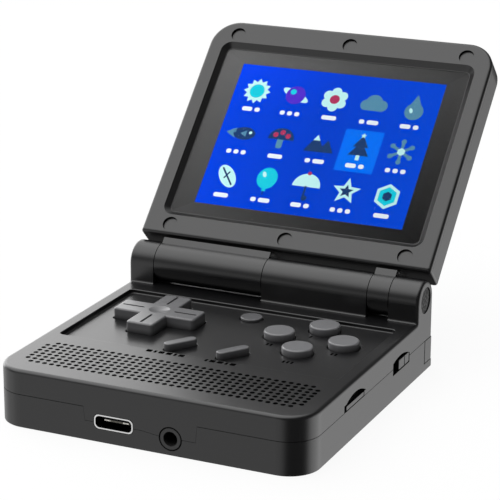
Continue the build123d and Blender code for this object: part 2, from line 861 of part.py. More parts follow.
with BuildPart() as jack:
    with BuildSketch(front_face):
        with Locations((jack_x, jack_z)):
            Circle(jack_barrel_radius)
    extrude(amount=-base_wall - jack_barrel_inside)
    with BuildSketch(front_face.offset(-base_wall - jack_body_setback)):
        with Locations((jack_x, (base_wall + board_bottom) / 2)):
            Rectangle(jack_body_width, board_bottom - base_wall - 4 * contact_gap)
    extrude(amount=-jack_body_length)
    with BuildSketch(front_face):
        with Locations((jack_x, jack_z)):
            Circle(jack_bore_radius)
    extrude(amount=-jack_bore_length, mode=Mode.SUBTRACT)
jack.part.label = "headphone_jack"
export_step(jack.part, "parts/headphone_jack.step")

# ================================================================ base: right side
card_outer = half_width - card_recess
card_middle = card_slot_rear - card_rear_gap - card_width / 2
socket_outer = half_width - base_wall - 0.2
socket_inner = card_outer - card_length - card_socket_margin
socket_bottom = board_top + contact_gap
socket_top = card_bottom + card_thickness + card_socket_wall
with BuildPart() as card_socket:
    with BuildSketch(side_plane(socket_inner)):
        with Locations((card_middle, (socket_bottom + socket_top) / 2)):
            Rectangle(card_width + 2 * card_socket_margin, socket_top - socket_bottom)
    extrude(amount=socket_outer - socket_inner)
    with BuildSketch(side_plane(socket_inner + 0.6)):
        with Locations((card_middle, card_bottom + card_thickness / 2)):
            Rectangle(card_width + 0.3, card_thickness + 0.2)
    extrude(amount=card_length, mode=Mode.SUBTRACT)
card_socket.part.label = "card_socket"
export_step(card_socket.part, "parts/card_socket.step")

with BuildPart() as card:
    with BuildSketch(side_plane(card_outer - card_length)):
        with Locations((card_middle, card_bottom + card_thickness / 2)):
            RectangleRounded(card_width, card_thickness, 0.15)
    extrude(amount=card_length)
card.part.label = "memory_card"
export_step(card.part, "parts/memory_card.step")

knob_front = knob_y - knob_length / 2
knob_outer = half_width - knob_recess
peg_z = board_top + switch_body_height / 2
flange_outer = half_width - base_wall - 0.2
knob_low = switch_low + knob_gap
knob_middle = knob_low + knob_height / 2
with BuildPart() as knob:
    with BuildSketch(side_plane(flange_outer - knob_flange)):
        with Locations((knob_y, knob_middle)):
            RectangleRounded(knob_length, knob_height, knob_corner_radius)
    extrude(amount=knob_outer - flange_outer + knob_flange)
    fillet(knob.faces().sort_by(Axis.X)[-1].edges(), knob_corner_radius / 2)
    with BuildSketch(side_plane(flange_outer - 2 * knob_flange)):
        with Locations((knob_y, (switch_low + switch_crown) / 2)):
            Rectangle(knob_length + knob_flange, switch_crown - switch_low + knob_flange)
    extrude(amount=2 * knob_flange)
    with BuildSketch(side_plane(knob_outer - knob_slot_depth)):
        with Locations((knob_front + knob_slot_from_front, knob_middle)):
            Rectangle(knob_slot_width, knob_height - 0.4)
    extrude(amount=2 * knob_slot_depth, mode=Mode.SUBTRACT)
    # peg that moves the switch inside
    with BuildSketch(side_plane(flange_outer - peg_reach)):
        with Locations((knob_y, peg_z)):
            Rectangle(peg_width, peg_height)
    extrude(amount=peg_reach - knob_flange)
knob.part.label = "power_knob"
export_step(knob.part, "parts/power_knob.step")

switch_top = board_top + switch_body_height
with BuildPart() as switch_body:
    with BuildSketch(Plane.XY.offset(board_top + contact_gap)):
        with Locations((flange_outer - peg_reach - 0.2, knob_y - knob_travel / 2)):
            Rectangle(switch_body_width, switch_body_length)
    extrude(amount=switch_top - board_top - contact_gap)
    with BuildSketch(side_plane(flange_outer - peg_reach - 2 * peg_clearance)):
        with Locations((knob_y - knob_travel / 2, peg_z)):
            Rectangle(peg_width + knob_travel + 2 * peg_clearance, peg_height + 2 * peg_clearance)
    extrude(amount=switch_body_width, mode=Mode.SUBTRACT)
switch_body.part.label = "power_switch"
export_step(switch_body.part, "parts/power_switch.step")

# ================================================================ base: left side
with BuildPart() as wheel:
    with BuildSketch(Plane.XY.offset(wheel_low)):
        with Locations((wheel_x, wheel_y)):
            Circle(wheel_radius)
            Circle(1.2 + running_clearance, mode=Mode.SUBTRACT)
            with PolarLocations(wheel_radius + 0.1, wheel_teeth):
                Circle(0.28, mode=Mode.SUBTRACT)
    extrude(amount=wheel_thickness)
wheel.part.label = "volume_wheel"
export_step(wheel.part, "parts/volume_wheel.step")

with BuildPart() as volume_control:
    with BuildSketch(Plane.XY.offset(board_bottom - contact_gap)):
        with Locations((wheel_x, wheel_y)):
            Rectangle(6.6, 6.6)
    extrude(amount=wheel_top + 0.3 - board_bottom + contact_gap)
    with BuildSketch(Plane.XY.offset(wheel_low + 0.2)):
        with Locations((wheel_x, wheel_y)):
            Circle(1.2)
    extrude(amount=wheel_thickness + 0.4)
volume_control.part.label = "volume_control"
export_step(volume_control.part, "parts/volume_control.step")

# ================================================================ base: shoulder buttons and their switches
for side, name in ((-1, "left"), (1, "right")):
    with BuildPart() as shoulder:
        with BuildSketch(Plane.XY.offset(shoulder_low + shoulder_line)):
            add(shoulder_outline(side, 0))
        extrude(amount=lower_top - shoulder_low - 1.5 * shoulder_line)
        corner = shoulder.edges().filter_by(Axis.Z).sort_by_distance((side * half_width, half_depth, 5))
        fillet(corner[0], shoulder_corner_radius)
        with BuildSketch(Plane.XY.offset(shoulder_low + shoulder_line)):
            with Locations((side * shoulder_pivot[0], shoulder_pivot[1])):
                Circle(shoulder_boss_radius)
        extrude(amount=lower_top - shoulder_low - 1.5 * shoulder_line)
        with BuildSketch(Plane.XY):
            with Locations((side * shoulder_pivot[0], shoulder_pivot[1])):
                Circle(shoulder_pin_radius + running_clearance)
        extrude(amount=base_height, mode=Mode.SUBTRACT)
    shoulder.part.label = f"shoulder_button_{name}"
    export_step(shoulder.part, f"parts/shoulder_button_{name}.step")

    plunger_rear = half_depth - shoulder_thickness - shoulder_travel - 0.1
    plunger_x = side * (half_width - shoulder_switch_inset)
    with BuildPart() as shoulder_switch:
        with BuildSketch(Plane.XY.offset(board_bottom - contact_gap)):
            with Locations((plunger_x, plunger_rear - 3.3)):
                Rectangle(6.0, 4.0)
        extrude(amount=-shoulder_switch_height)
        with BuildSketch(Plane.XZ.offset(-plunger_rear)):
            with Locations((plunger_x, board_bottom - contact_gap - shoulder_switch_height / 2)):
                Rectangle(2.0, 1.4)
        extrude(amount=2.0)
    shoulder_switch.part.label = f"shoulder_switch_{name}"
    export_step(shoulder_switch.part, f"parts/shoulder_switch_{name}.step")

# ================================================================ controls on the panel
dish_sphere = (pad_dish_radius**2 + pad_dish_depth**2) / (2 * pad_dish_depth)
with BuildPart() as d_pad:
    with BuildSketch(Plane.XY.offset(pad_flange_bottom)):
        add(plus_outline(pad_span, pad_arm_width, 0.85, 0.85))
    extrude(amount=pad_top - pad_flange_bottom)
    fillet(d_pad.faces().sort_by(Axis.Z)[-1].edges(), 0.5)
    with Locations((pad_x, pad_y, pad_top + dish_sphere - pad_dish_depth)):
        Sphere(dish_sphere, mode=Mode.SUBTRACT)
    with BuildSketch(Plane.XY.offset(pad_top - pad_line_depth)):
        with Locations((pad_x, pad_y)):
            with PolarLocations(pad_line_start + pad_line_length / 2, 4):
                RectangleRounded(pad_line_length, pad_line_width, pad_line_width / 2 - 0.01)
    extrude(amount=1.0, mode=Mode.SUBTRACT)
    with BuildSketch(Plane.XY.offset(pad_flange_bottom)):
        with Locations((pad_x, pad_y)):
            Circle(pad_flange_radius)
    extrude(amount=flange_thickness)
    with BuildSketch(Plane.XY.offset(pad_ball_z + running_clearance)):
        with Locations((pad_x, pad_y)):
            Circle(2 * pad_ball_radius)
    extrude(amount=pad_flange_bottom - pad_ball_z)
    with Locations((pad_x, pad_y, pad_ball_z)):
        Sphere(pad_ball_radius + running_clearance, mode=Mode.SUBTRACT)
d_pad.part.label = "d_pad"
export_step(d_pad.part, "parts/d_pad.step")

with BuildPart() as pad_ball:
    with Locations((pad_x, pad_y, pad_ball_z)):
        Sphere(pad_ball_radius)
pad_ball.part.label = "d_pad_ball"
export_step(pad_ball.part, "parts/d_pad_ball.step")

with BuildPart() as pad_rubber:
    with BuildSketch(Plane.XY.offset(board_top + contact_gap)):
        with Locations((pad_x, pad_y)):
            Circle(pad_flange_radius - 0.8)
            Circle(2 * pad_ball_radius, mode=Mode.SUBTRACT)
    extrude(amount=rubber_sheet - contact_gap)
    with BuildSketch(Plane.XY.offset(board_top + rubber_sheet / 2)):
        with Locations((pad_x, pad_y)):
            with PolarLocations(8.2, 4):
                Circle(dome_radius)
    extrude(amount=dome_top + 0.3 - board_top - rubber_sheet / 2, taper=12)
pad_rubber.part.label = "d_pad_rubber"
export_step(pad_rubber.part, "parts/d_pad_rubber.step")

action_travel = 1.2
action_stem_bottom = dome_top + 0.2 + action_travel
for name, place in action_places.items():
    with BuildPart() as button:
        with BuildSketch(Plane.XY.offset(flange_bottom)):
            with Locations(place):
                Circle(action_radius)
        extrude(amount=panel_floor + action_height - flange_bottom)
        fillet(button.faces().sort_by(Axis.Z)[-1].edges(), action_edge_radius)
        with BuildSketch(Plane.XY.offset(flange_bottom)):
            with Locations(place):
                Circle(action_radius + control_flange)
        extrude(amount=flange_thickness)
        with BuildSketch(Plane.XY.offset(action_stem_bottom)):
            with Locations(place):
                Circle(dome_radius - 0.4)
        extrude(amount=flange_bottom - action_stem_bottom + flange_thickness / 2)
    button.part.label = f"action_button_{name}"
    export_step(button.part, f"parts/action_button_{name}.step")

with BuildPart() as action_rubber:
    with BuildSketch(Plane.XY.offset(board_top + contact_gap)):
        with Locations((action_x, action_y)):
            Circle(action_spacing + 3.2)
    extrude(amount=rubber_sheet - contact_gap)
    with BuildSketch(Plane.XY.offset(board_top + rubber_sheet / 2)):
        with Locations(*action_places.values()):
            Circle(dome_radius)
    extrude(amount=dome_top - board_top - rubber_sheet / 2)
action_rubber.part.label = "action_rubber"
export_step(action_rubber.part, "parts/action_rubber.step")

pill_travel = 0.9
pill_stem_bottom = dome_top + 0.2 + pill_travel
for name, place in pill_places.items():
    with BuildPart() as pill:
        with BuildSketch(Plane.XY.offset(flange_bottom)):
            with Locations(place):
                SlotOverall(pill_length, pill_width, rotation=pill_turn)
        extrude(amount=panel_floor + pill_height - flange_bottom)
        fillet(pill.faces().sort_by(Axis.Z)[-1].edges(), pill_edge_radius)
        with BuildSketch(Plane.XY.offset(flange_bottom)):
            with Locations(place):
                SlotOverall(
                    pill_length + 2 * control_flange, pill_width + 2 * control_flange, rotation=pill_turn
                )
        extrude(amount=flange_thickness)
        with BuildSketch(Plane.XY.offset(pill_stem_bottom)):
            with Locations(place):
                SlotOverall(pill_length - 3.0, pill_width - 0.6, rotation=pill_turn)
        extrude(amount=flange_bottom - pill_stem_bottom + flange_thickness / 2)
    pill.part.label = f"pill_button_{name}"
    export_step(pill.part, f"parts/pill_button_{name}.step")

with BuildPart() as option_rubber:
    with BuildSketch(Plane.XY.offset(board_top + contact_gap)):
        with Locations((0, pill_y)):
            RectangleRounded(pill_spacing + 8.0, 9.0, 1.5)
    extrude(amount=rubber_sheet - contact_gap)
    with BuildSketch(Plane.XY.offset(board_top + rubber_sheet / 2)):
        with Locations(*pill_places.values()):
            Circle(dome_radius)
    extrude(amount=dome_top - board_top - rubber_sheet / 2)
option_rubber.part.label = "option_rubber"
export_step(option_rubber.part, "parts/option_rubber.step")

menu_travel = 0.5
menu_switch_top = board_top + 2.0
with BuildPart() as menu_button:
    with BuildSketch(Plane.XY.offset(flange_bottom)):
        with Locations(menu_place):
            Circle(menu_radius)
    extrude(amount=panel_floor + menu_height - flange_bottom)
    fillet(menu_button.faces().sort_by(Axis.Z)[-1].edges(), 0.25)
    with BuildSketch(Plane.XY.offset(flange_bottom)):
        with Locations(menu_place):
            Circle(menu_radius + control_flange)
    extrude(amount=flange_thickness)
    with BuildSketch(Plane.XY.offset(menu_switch_top + menu_travel + 0.1)):
        with Locations(menu_place):
            Circle(1.2)
    extrude(amount=flange_bottom - menu_switch_top - menu_travel)
menu_button.part.label = "menu_button"
export_step(menu_button.part, "parts/menu_button.step")

with BuildPart() as menu_switch:
    with BuildSketch(Plane.XY.offset(board_top + contact_gap)):
        with Locations(menu_place):
            Rectangle(4.4, 4.4)
    extrude(amount=1.4)
    with BuildSketch(Plane.XY.offset(board_top + 1.0)):
        with Locations(menu_place):
            Circle(0.9)
    extrude(amount=menu_switch_top - board_top - 1.0)
menu_switch.part.label = "menu_switch"
export_step(menu_switch.part, "parts/menu_switch.step")

# ================================================================ hinge parts
cap_outer = half_width - end_cap_recess
cap_inner = cap_outer - end_cap_thickness
head_inner = cap_inner - contact_gap - pin_head_thickness
for side, name, knuckle_end in ((-1, "left", -long_knuckle[0]), (1, "right", short_knuckle[1])):
    pin_tip = knuckle_end - pin_grip
    with BuildPart() as pin:
        with BuildSketch(side_plane(side * pin_tip)):
            with Locations((axis_y, hinge_height)):
                Circle(pin_radius)
        extrude(amount=side * (cap_inner - contact_gap - pin_tip))
        with BuildSketch(side_plane(side * head_inner)):
            with Locations((axis_y, hinge_height)):
                Circle(pin_head_radius)
        extrude(amount=side * pin_head_thickness)
    pin.part.label = f"hinge_pin_{name}"
    export_step(pin.part, f"parts/hinge_pin_{name}.step")

    with BuildPart() as cap:
        with BuildSketch(side_plane(side * cap_inner)):
            with Locations((axis_y, hinge_height)):
                Circle(end_cap_radius)
        extrude(amount=side * end_cap_thickness)
    cap.part.label = f"hinge_cap_{name}"
    export_step(cap.part, f"parts/hinge_cap_{name}.step")

with BuildPart() as cartridge:
    with BuildSketch(side_plane(centre_barrel[1] - cartridge_length)):
        with Locations((axis_y, hinge_height)):
            Circle(cartridge_radius)
    extrude(amount=cartridge_length)
    with BuildSketch(side_plane(centre_barrel[1] - cam_shaft_reach - 0.3)):
        with Locations((axis_y, hinge_height)):
            Circle(cam_shaft_radius + running_clearance)
    extrude(amount=cam_shaft_reach + 1.0, mode=Mode.SUBTRACT)
cartridge.part.label = "hinge_cartridge"
export_step(cartridge.part, "parts/hinge_cartridge.step")

with BuildPart() as cam_shaft:
    with BuildSketch(side_plane(centre_barrel[1] - cam_shaft_reach)):
        with Locations((axis_y, hinge_height)):
            Circle(cam_shaft_radius)
    extrude(amount=cam_shaft_reach + knuckle_gap + pin_grip)
cam_shaft.part.label = "hinge_cam_shaft"
export_step(cam_shaft.part, "parts/hinge_cam_shaft.step")

# ribbon cable: one half rolled in the centre barrel, one half rolled in the long knuckle
connector_top = board_top + 1.5
ribbon_x = centre_barrel[0] + ribbon_width / 2 + 1.9
with BuildPart() as base_ribbon:
    with BuildSketch(side_plane(centre_barrel[0] + 0.1)):
        with Locations((axis_y, hinge_height)):
            Circle(ribbon_radius)
            Circle(ribbon_radius - ribbon_thickness, mode=Mode.SUBTRACT)
    extrude(amount=ribbon_width + 2.4)
    with BuildSketch(Plane.XZ.offset(-axis_y)):
        with Locations((ribbon_x, (connector_top + hinge_height - ribbon_radius) / 2)):
            Rectangle(ribbon_width, hinge_height - ribbon_radius - connector_top + 2 * contact_gap)
    extrude(amount=ribbon_thickness / 2, both=True)
base_ribbon.part.label = "base_ribbon"
export_step(base_ribbon.part, "parts/base_ribbon.step")

with BuildPart() as ribbon_connector:
    with BuildSketch(Plane.XY.offset(board_top + contact_gap)):
        with Locations((ribbon_x, axis_y)):
            Rectangle(ribbon_width + 2.0, 3.0)
    extrude(amount=connector_top - board_top - contact_gap)
    with BuildSketch(Plane.XY.offset(connector_top - 0.4)):
        with Locations((ribbon_x, axis_y)):
            Rectangle(ribbon_width + 0.4, ribbon_thickness + 0.2)
    extrude(amount=1.0, mode=Mode.SUBTRACT)
ribbon_connector.part.label = "ribbon_connector"
export_step(ribbon_connector.part, "parts/ribbon_connector.step")

lid_ribbon_x = long_knuckle[1] - 0.2 - ribbon_width / 2 - 1.6
with BuildPart() as lid_ribbon:
    with BuildSketch(side_plane(long_knuckle[1] - 0.2)):
        with Locations((axis_y, hinge_height)):
            Circle(ribbon_radius)
            Circle(ribbon_radius - ribbon_thickness, mode=Mode.SUBTRACT)
    extrude(amount=-ribbon_width - 2.4)
    with BuildSketch(lid_plane.offset(-ribbon_radius)):
        with Locations((lid_ribbon_x, lid_start + 6.5)):
            Rectangle(ribbon_width, 2 * (lid_start + 6.5))
    extrude(amount=ribbon_thickness)
lid_ribbon.part.label = "lid_ribbon"
export_step(lid_ribbon.part, "parts/lid_ribbon.step")

# ================================================================ lid: rear shell with the knuckles
with BuildPart() as lid_rear:
    with BuildSketch(lid_plane.offset(lid_back)):
        add(lid_outline(0))
    extrude(amount=lid_seam - lid_back)
    fillet(lid_rear.faces().sort_by(lid_depth_axis)[0].edges(), lid_back_radius)
    for start, end in (long_knuckle, short_knuckle):
        with BuildSketch(side_plane(start)):
            with Locations((axis_y, hinge_height)):
                Circle(hinge_radius)
        extrude(amount=end - start)
        with BuildSketch(lid_plane.offset(lid_back + neck_back_step)):
            with Locations(((start + end) / 2, neck_reach / 2)):
                Rectangle(end - start, neck_reach)
        extrude(amount=lid_face - lid_back - neck_back_step)
        with BuildSketch(lid_plane.offset(lid_back + neck_back_step)):
            with Locations(((start + end) / 2, (neck_reach + lid_start) / 2)):
                Rectangle(end - start, lid_start - neck_reach + 2 * lid_wall)
        extrude(amount=lid_seam - lid_back - neck_back_step - 0.8)
    with BuildSketch(lid_plane.offset(lid_floor)):
        add(lid_outline(lid_wall))
    extrude(amount=lid_face - lid_floor, mode=Mode.SUBTRACT)
    # bosses for the lid screws
    with BuildSketch(lid_plane.offset(lid_floor - 0.2)):
        with Locations(*lid_screws_at):
            Circle(screw_head_radius + lid_boss_wall)
    extrude(amount=lid_screw_seat - lid_boss_floor - contact_gap - lid_floor + 0.2)
    with BuildSketch(lid_plane.offset(lid_screw_seat - lid_screw_length - 0.2)):
        with Locations(*lid_screws_at):
            Circle(screw_radius + seat_clearance)
    extrude(amount=lid_thickness, mode=Mode.SUBTRACT)
    # bores for the pins, the cam shaft and the rolled ribbon, and the ribbon's way into the lid
    with BuildSketch(side_plane(long_knuckle[0])):
        with Locations((axis_y, hinge_height)):
            Circle(pin_radius + running_clearance)
    extrude(amount=pin_grip + 0.2, mode=Mode.SUBTRACT)
    with BuildSketch(side_plane(short_knuckle[1])):
        with Locations((axis_y, hinge_height)):
            Circle(pin_radius + running_clearance)
    extrude(amount=-pin_grip - 0.2, mode=Mode.SUBTRACT)
    with BuildSketch(side_plane(short_knuckle[0])):
        with Locations((axis_y, hinge_height)):
            Circle(cam_shaft_radius + seat_clearance)
    extrude(amount=pin_grip + 0.1, mode=Mode.SUBTRACT)
    with BuildSketch(side_plane(long_knuckle[1])):
        with Locations((axis_y, hinge_height)):
            Circle(cable_bore_radius)
    extrude(amount=-cable_bore_length, mode=Mode.SUBTRACT)
    with BuildSketch(lid_plane.offset(-ribbon_radius - 0.25)):
        with Locations((lid_ribbon_x, (lid_start + 2 * lid_wall) / 2)):
            Rectangle(ribbon_width + 0.6, lid_start + 2 * lid_wall)
    extrude(amount=ribbon_thickness + 0.5, mode=Mode.SUBTRACT)
lid_rear.part.label = "lid_rear_shell"
export_step(lid_rear.part, "parts/lid_rear_shell.step")

# ================================================================ lid: front frame
with BuildPart() as lid_front:
    with BuildSketch(lid_plane.offset(lid_seam + lid_seam_gap)):
        add(lid_outline(0))
    extrude(amount=frame_thickness - lid_seam_gap)
    fillet(lid_front.faces().sort_by(lid_depth_axis)[-1].edges(), lid_front_radius)
    with BuildSketch(lid_plane.offset(tray_rear)):
        add(screen_outline(lens_half_width + tray_wall, lens_half_height + tray_wall, window_radius))
    extrude(amount=lid_seam + 2 * lid_seam_gap - tray_rear)
    with BuildSketch(lid_plane.offset(lid_screw_seat - lid_boss_floor)):
        with Locations(*lid_screws_at):
            Circle(screw_head_radius + lid_boss_wall)
    extrude(amount=lid_seam + 2 * lid_seam_gap - lid_screw_seat + lid_boss_floor)
    # bevelled window
    with BuildSketch(lid_plane.offset(bevel_foot)):
        foot_gap = 2 * lens_gap
        add(screen_outline(lens_half_width + foot_gap, lens_half_height + foot_gap, window_radius / 2))
    with BuildSketch(lid_plane.offset(lid_face)):
        add(screen_outline(lens_half_width + bevel_run, lens_half_height + bevel_run, window_radius))
    loft(mode=Mode.SUBTRACT)
    with BuildSketch(lid_plane.offset(lens_rear - contact_gap)):
        add(screen_outline(lens_half_width + lens_gap, lens_half_height + lens_gap, window_radius / 2))
    extrude(amount=bevel_foot - lens_rear + 2 * contact_gap, mode=Mode.SUBTRACT)
    with BuildSketch(lid_plane.offset(tray_rear)):
        add(screen_outline(glass_half_width + lens_gap, glass_half_height + lens_gap, 0.5))
    extrude(amount=ledge_thickness + 0.5, mode=Mode.SUBTRACT)
    # holes for the plugs and the screws under them
    with BuildSketch(lid_plane.offset(plug_bottom - contact_gap)):
        with Locations(*lid_screws_at):
            Circle(plug_radius + plug_gap)
    extrude(amount=lid_thickness, mode=Mode.SUBTRACT)
    with BuildSketch(lid_plane.offset(lid_screw_seat - contact_gap)):
        with Locations(*lid_screws_at):
            Circle(screw_head_radius + contact_gap)
    extrude(amount=lid_thickness, mode=Mode.SUBTRACT)
    with BuildSketch(lid_plane.offset(0)):
        with Locations(*lid_screws_at):
            Circle(screw_radius + 0.1)
    extrude(amount=lid_thickness, mode=Mode.SUBTRACT)
lid_front.part.label = "lid_front_frame"
export_step(lid_front.part, "parts/lid_front_frame.step")

with BuildPart() as lens:
    with BuildSketch(lid_plane.offset(lens_rear)):
        add(screen_outline(lens_half_width, lens_half_height, window_radius / 2 - lens_gap))
    extrude(amount=lens_thickness)
lens.part.label = "screen_lens"
export_step(lens.part, "parts/screen_lens.step")

with BuildPart() as lcd:
    with BuildSketch(lid_plane.offset(glass_rear)):
        with Locations((0, screen_centre)):
            Rectangle(2 * glass_half_width, 2 * glass_half_height)
    extrude(amount=glass_thickness)
lcd.part.label = "lcd_panel"
export_step(lcd.part, "parts/lcd_panel.step")

with BuildPart() as backlight:
    with BuildSketch(lid_plane.offset(backlight_rear)):
        with Locations((0, screen_centre)):
            Rectangle(2 * glass_half_width, 2 * glass_half_height)
    extrude(amount=backlight_thickness)
backlight.part.label = "backlight"
export_step(backlight.part, "parts/backlight.step")

with BuildPart() as foam:
    with BuildSketch(lid_plane.offset(lid_floor + contact_gap)):
        with Locations((0, screen_centre)):
            Rectangle(2 * glass_half_width, 2 * glass_half_height)
        with Locations((0, screen_centre - foam_width)):
            Rectangle(2 * (glass_half_width - foam_width), 2 * glass_half_height, mode=Mode.SUBTRACT)
    extrude(amount=backlight_rear - lid_floor - 2 * contact_gap)
foam.part.label = "screen_foam"
export_step(foam.part, "parts/screen_foam.step")

with BuildPart() as plugs:
    with BuildSketch(lid_plane.offset(plug_bottom)):
        with Locations(*lid_screws_at):
            Circle(plug_radius)
    extrude(amount=plug_thickness)
plugs.part.label = "screw_plugs"
export_step(plugs.part, "parts/screw_plugs.step")

with BuildPart() as lid_screws:
    with BuildSketch(lid_plane.offset(lid_screw_seat)):
        with Locations(*lid_screws_at):
            Circle(screw_head_radius)
    extrude(amount=screw_head_thickness)
    with BuildSketch(lid_plane.offset(lid_screw_seat + 0.3)):
        with Locations(*lid_screws_at):
            Circle(screw_radius)
    extrude(amount=-lid_screw_length - 0.3)
lid_screws.part.label = "lid_screws"
export_step(lid_screws.part, "parts/lid_screws.step")
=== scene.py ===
"""The looks of a clamshell handheld game console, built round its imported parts."""

import json
from math import cos, radians, sin

import bpy
from mathutils import Matrix, Vector


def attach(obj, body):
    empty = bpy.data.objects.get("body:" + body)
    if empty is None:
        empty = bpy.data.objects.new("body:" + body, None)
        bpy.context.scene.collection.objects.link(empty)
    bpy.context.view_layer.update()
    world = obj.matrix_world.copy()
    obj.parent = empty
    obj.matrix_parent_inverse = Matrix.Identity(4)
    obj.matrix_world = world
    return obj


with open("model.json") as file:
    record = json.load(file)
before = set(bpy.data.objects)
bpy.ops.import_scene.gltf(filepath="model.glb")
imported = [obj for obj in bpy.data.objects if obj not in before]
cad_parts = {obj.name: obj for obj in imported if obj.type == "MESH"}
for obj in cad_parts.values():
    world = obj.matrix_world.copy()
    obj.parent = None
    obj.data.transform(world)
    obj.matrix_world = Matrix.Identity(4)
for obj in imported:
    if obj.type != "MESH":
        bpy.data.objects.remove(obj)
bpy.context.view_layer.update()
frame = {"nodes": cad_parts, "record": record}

# sizes below are in millimetres, apart from those that say metres; Blender's own are in metres
MM = 0.001
X_AXIS = (1, 0, 0)
Y_AXIS = (0, 1, 0)
DIAGONAL = (0.7071, 0.7071, 0)

# the lid as it stands open, with its screen and lens
HINGE = Vector((0, 36.15, 19.85)) * MM
LID_TURN = radians(134.8)
ALONG_LID = Vector((0, -cos(LID_TURN), sin(LID_TURN)))
OFF_SCREEN = Vector((0, -sin(LID_TURN), -cos(LID_TURN)))
SCREEN_MIDDLE = 41.35
SCREEN_WIDTH = 60.96
SCREEN_HEIGHT = 45.72
LENS_FRONT = 2.43
LENS_HALF_WIDTH = 36.23
LENS_HALF_HEIGHT = 26.81
LENS_IOR = 1.05

# the camera: place in metres, directions, and its lens and picture in pixels
CAMERA_PLACE = (0.21378, -0.44840, 0.19577)
CAMERA_FORWARD = (-0.39703, 0.86659, -0.30230)
CAMERA_RIGHT = (0.90854, 0.41777, 0.00436)
SENSOR_WIDTH = 36.0
FOCAL_PIXELS = 2089.28
IMAGE_PIXELS = 500.0
NEAREST_SEEN = 0.01

# brightness of the room from everywhere, and its bright areas: direction, angle up to which each
# is full, angle at which it has faded out, and strength
ROOM_LEVEL = 0.13
ROOM_LIGHTS = [
    ((-0.387, -0.05, 0.92), 12, 62, 2.75),
    ((-0.75, 0.62, 0.20), 15, 33, 3.5),
    ((-0.95, 0.10, -0.30), 20, 45, 0.85),
    ((0.74, 0.55, -0.38), 12, 44, 2.05),
    ((-0.45, -0.80, -0.36), 14, 45, 0.9),
]

# the floor, in metres, and how much of it is plain white in place of a lit surface
FLOOR_SIZE = 6.0
FLOOR_GAP = 0.00005
FLOOR_COLOUR = (0.9, 0.9, 0.9)
FLOOR_LIFT = 0.92

# colours and sheen of the case, the ink and the buttons; the cross and the slanted buttons take the darker
# grey, and each button has painted shade darkening its lowest part
CASE_BLACK = (0.0055, 0.0055, 0.006)
CASE_SHEEN = 0.28
CASE_IOR = 1.6
# black of the printed marks, and also of the painted shade in and round the headphone socket
INK_AND_PAINTED_SHADE = (0.0005, 0.0005, 0.0005)
MATT = 0.9
BUTTON_GREY = (0.163, 0.163, 0.170)
PAD_GREY = (0.126, 0.126, 0.131)
KEY_FOOT_PAINTED_SHADE_TONE = 0.3
KEY_FOOT_PAINTED_SHADE_RISE = 1.3

# the moulded skin: size of its patches of tone and of sheen, and how far the sheen strays; its lower
# end keeps the case above the roughness at which noise removal would draw outlines round patches
TONE_PATCH = 16.0
RUB_PATCH = 5.0
RUB_RANGE = (0.35, 0.75)
RUB_SMOOTH = 0.985
RUB_ROUGH = 1.03
GRAIN_HEIGHT = 0.02

# most of Blender's noise lies between these two levels
NOISE_LOW = 0.3
NOISE_HIGH = 0.7
STRIPE_SOFTNESS = 0.08
BEYOND = 100

# charging socket: its mouth, and its tongue with a row of contacts, with painted highlight on the outer
# ones and painted shade dimming the middle ones
USB_X = -8.3
USB_Z = 5.35
MOUTH_HALF_WIDTH = 4.85
MOUTH_HALF_HEIGHT = 1.45
MOUTH_RADIUS = 1.05
TONGUE_FRONT = -39.8
CONTACT_PITCH = 0.36
CONTACT_LEVEL = 5.3
CONTACT_SETBACK = 0.5
CONTACT_ROW = (3.25, 0.75, 0.15)
PAINTED_DIM_CONTACTS = (1.7, 9, 2)

# headphone socket: its bore, and the collar in its hole
JACK_X = 6.9
JACK_Z = 4.25
JACK_RADIUS = 1.8
COLLAR_RADIUS = 2.75
COLLAR_GAP = 0.25

# memory card: the end that goes in, and its row of contacts
CARD_INNER_END = 27.0
CARD_MIDDLE = -12.0
CARD_LOW = 8.72
CARD_CONTACT_SETBACK = 2.2
CARD_CONTACT_ROW = (1.4, 4.5, 0.2)
CARD_CONTACT_PITCH = 1.1

# printed marks on the base: place and bar widths for the slanted buttons, place and count of strokes
# for the round ones
BASE_TOP = 14.9
PANEL_FLOOR = 13.8
MARK_LIFT = 0.016
DASH_GAP = 0.6
DASH_HEIGHT = 1.5
DASH_ROUNDING = 0.2
PILL_MARKS = [
    (-7.4, -15.7, (1.5, 0.7, 1.5, 1.5, 0.7, 1.5)),
    (7.7, -15.8, (0.7, 1.5, 1.5, 0.7, 1.5)),
]
STROKE_WIDTH = 0.6
STROKE_PITCH = 1.1
STROKE_ROUNDING = 0.15
BUTTON_MARKS = [(12.1, 3.7, 2), (29.6, 4.0, 2), (21.4, -5.9, 3), (19.4, 13.3, 1)]

# the border's print, and the painted reflection on it: its tones from left to right and from its foot to
# its head
BORDER_OVERLAP = 0.04
BORDER_RIM_LIFT = 0.004
BORDER_CORNER = 1.42
BORDER_CORNER_STEPS = 6
BORDER_REFLECTION_ACROSS = (0.325, 0.155)
BORDER_REFLECTION_UP = (0.0, 0.145)
BORDER_REFLECTION_WIDTH = 66.0
BORDER_REFLECTION_HEIGHT = 50.0
BORDER_WHITE = (1.0, 1.0, 1.0)
TONE_TO_LIGHT = 2.2

# the picture on the screen, measured from its middle; layers stack towards the lens
PICTURE_REST = 1.792
LAYER = 0.006
PLATE_THICKNESS = 0.014
BAR_CORNER_STEPS = 4
PICTURE_COLUMNS = [-23.6, -11.8, 0.0, 11.8, 23.6]
PICTURE_ROWS = [14.4, 0.4, -13.6]
CAPTION_DROP = 6.0
CAPTION_HEIGHT = 1.35
CAPTION_GAP = 0.7
CAPTION_ROUNDING = 0.567
CAPTION_WIDTHS = [(3.1, 1.6), (1.5, 1.5, 1.5), (4.4,), (1.6, 3.4)]
TILE_WIDTH = 11.2
TILE_HEIGHT = 13.2
TILE_DROP = 1.3

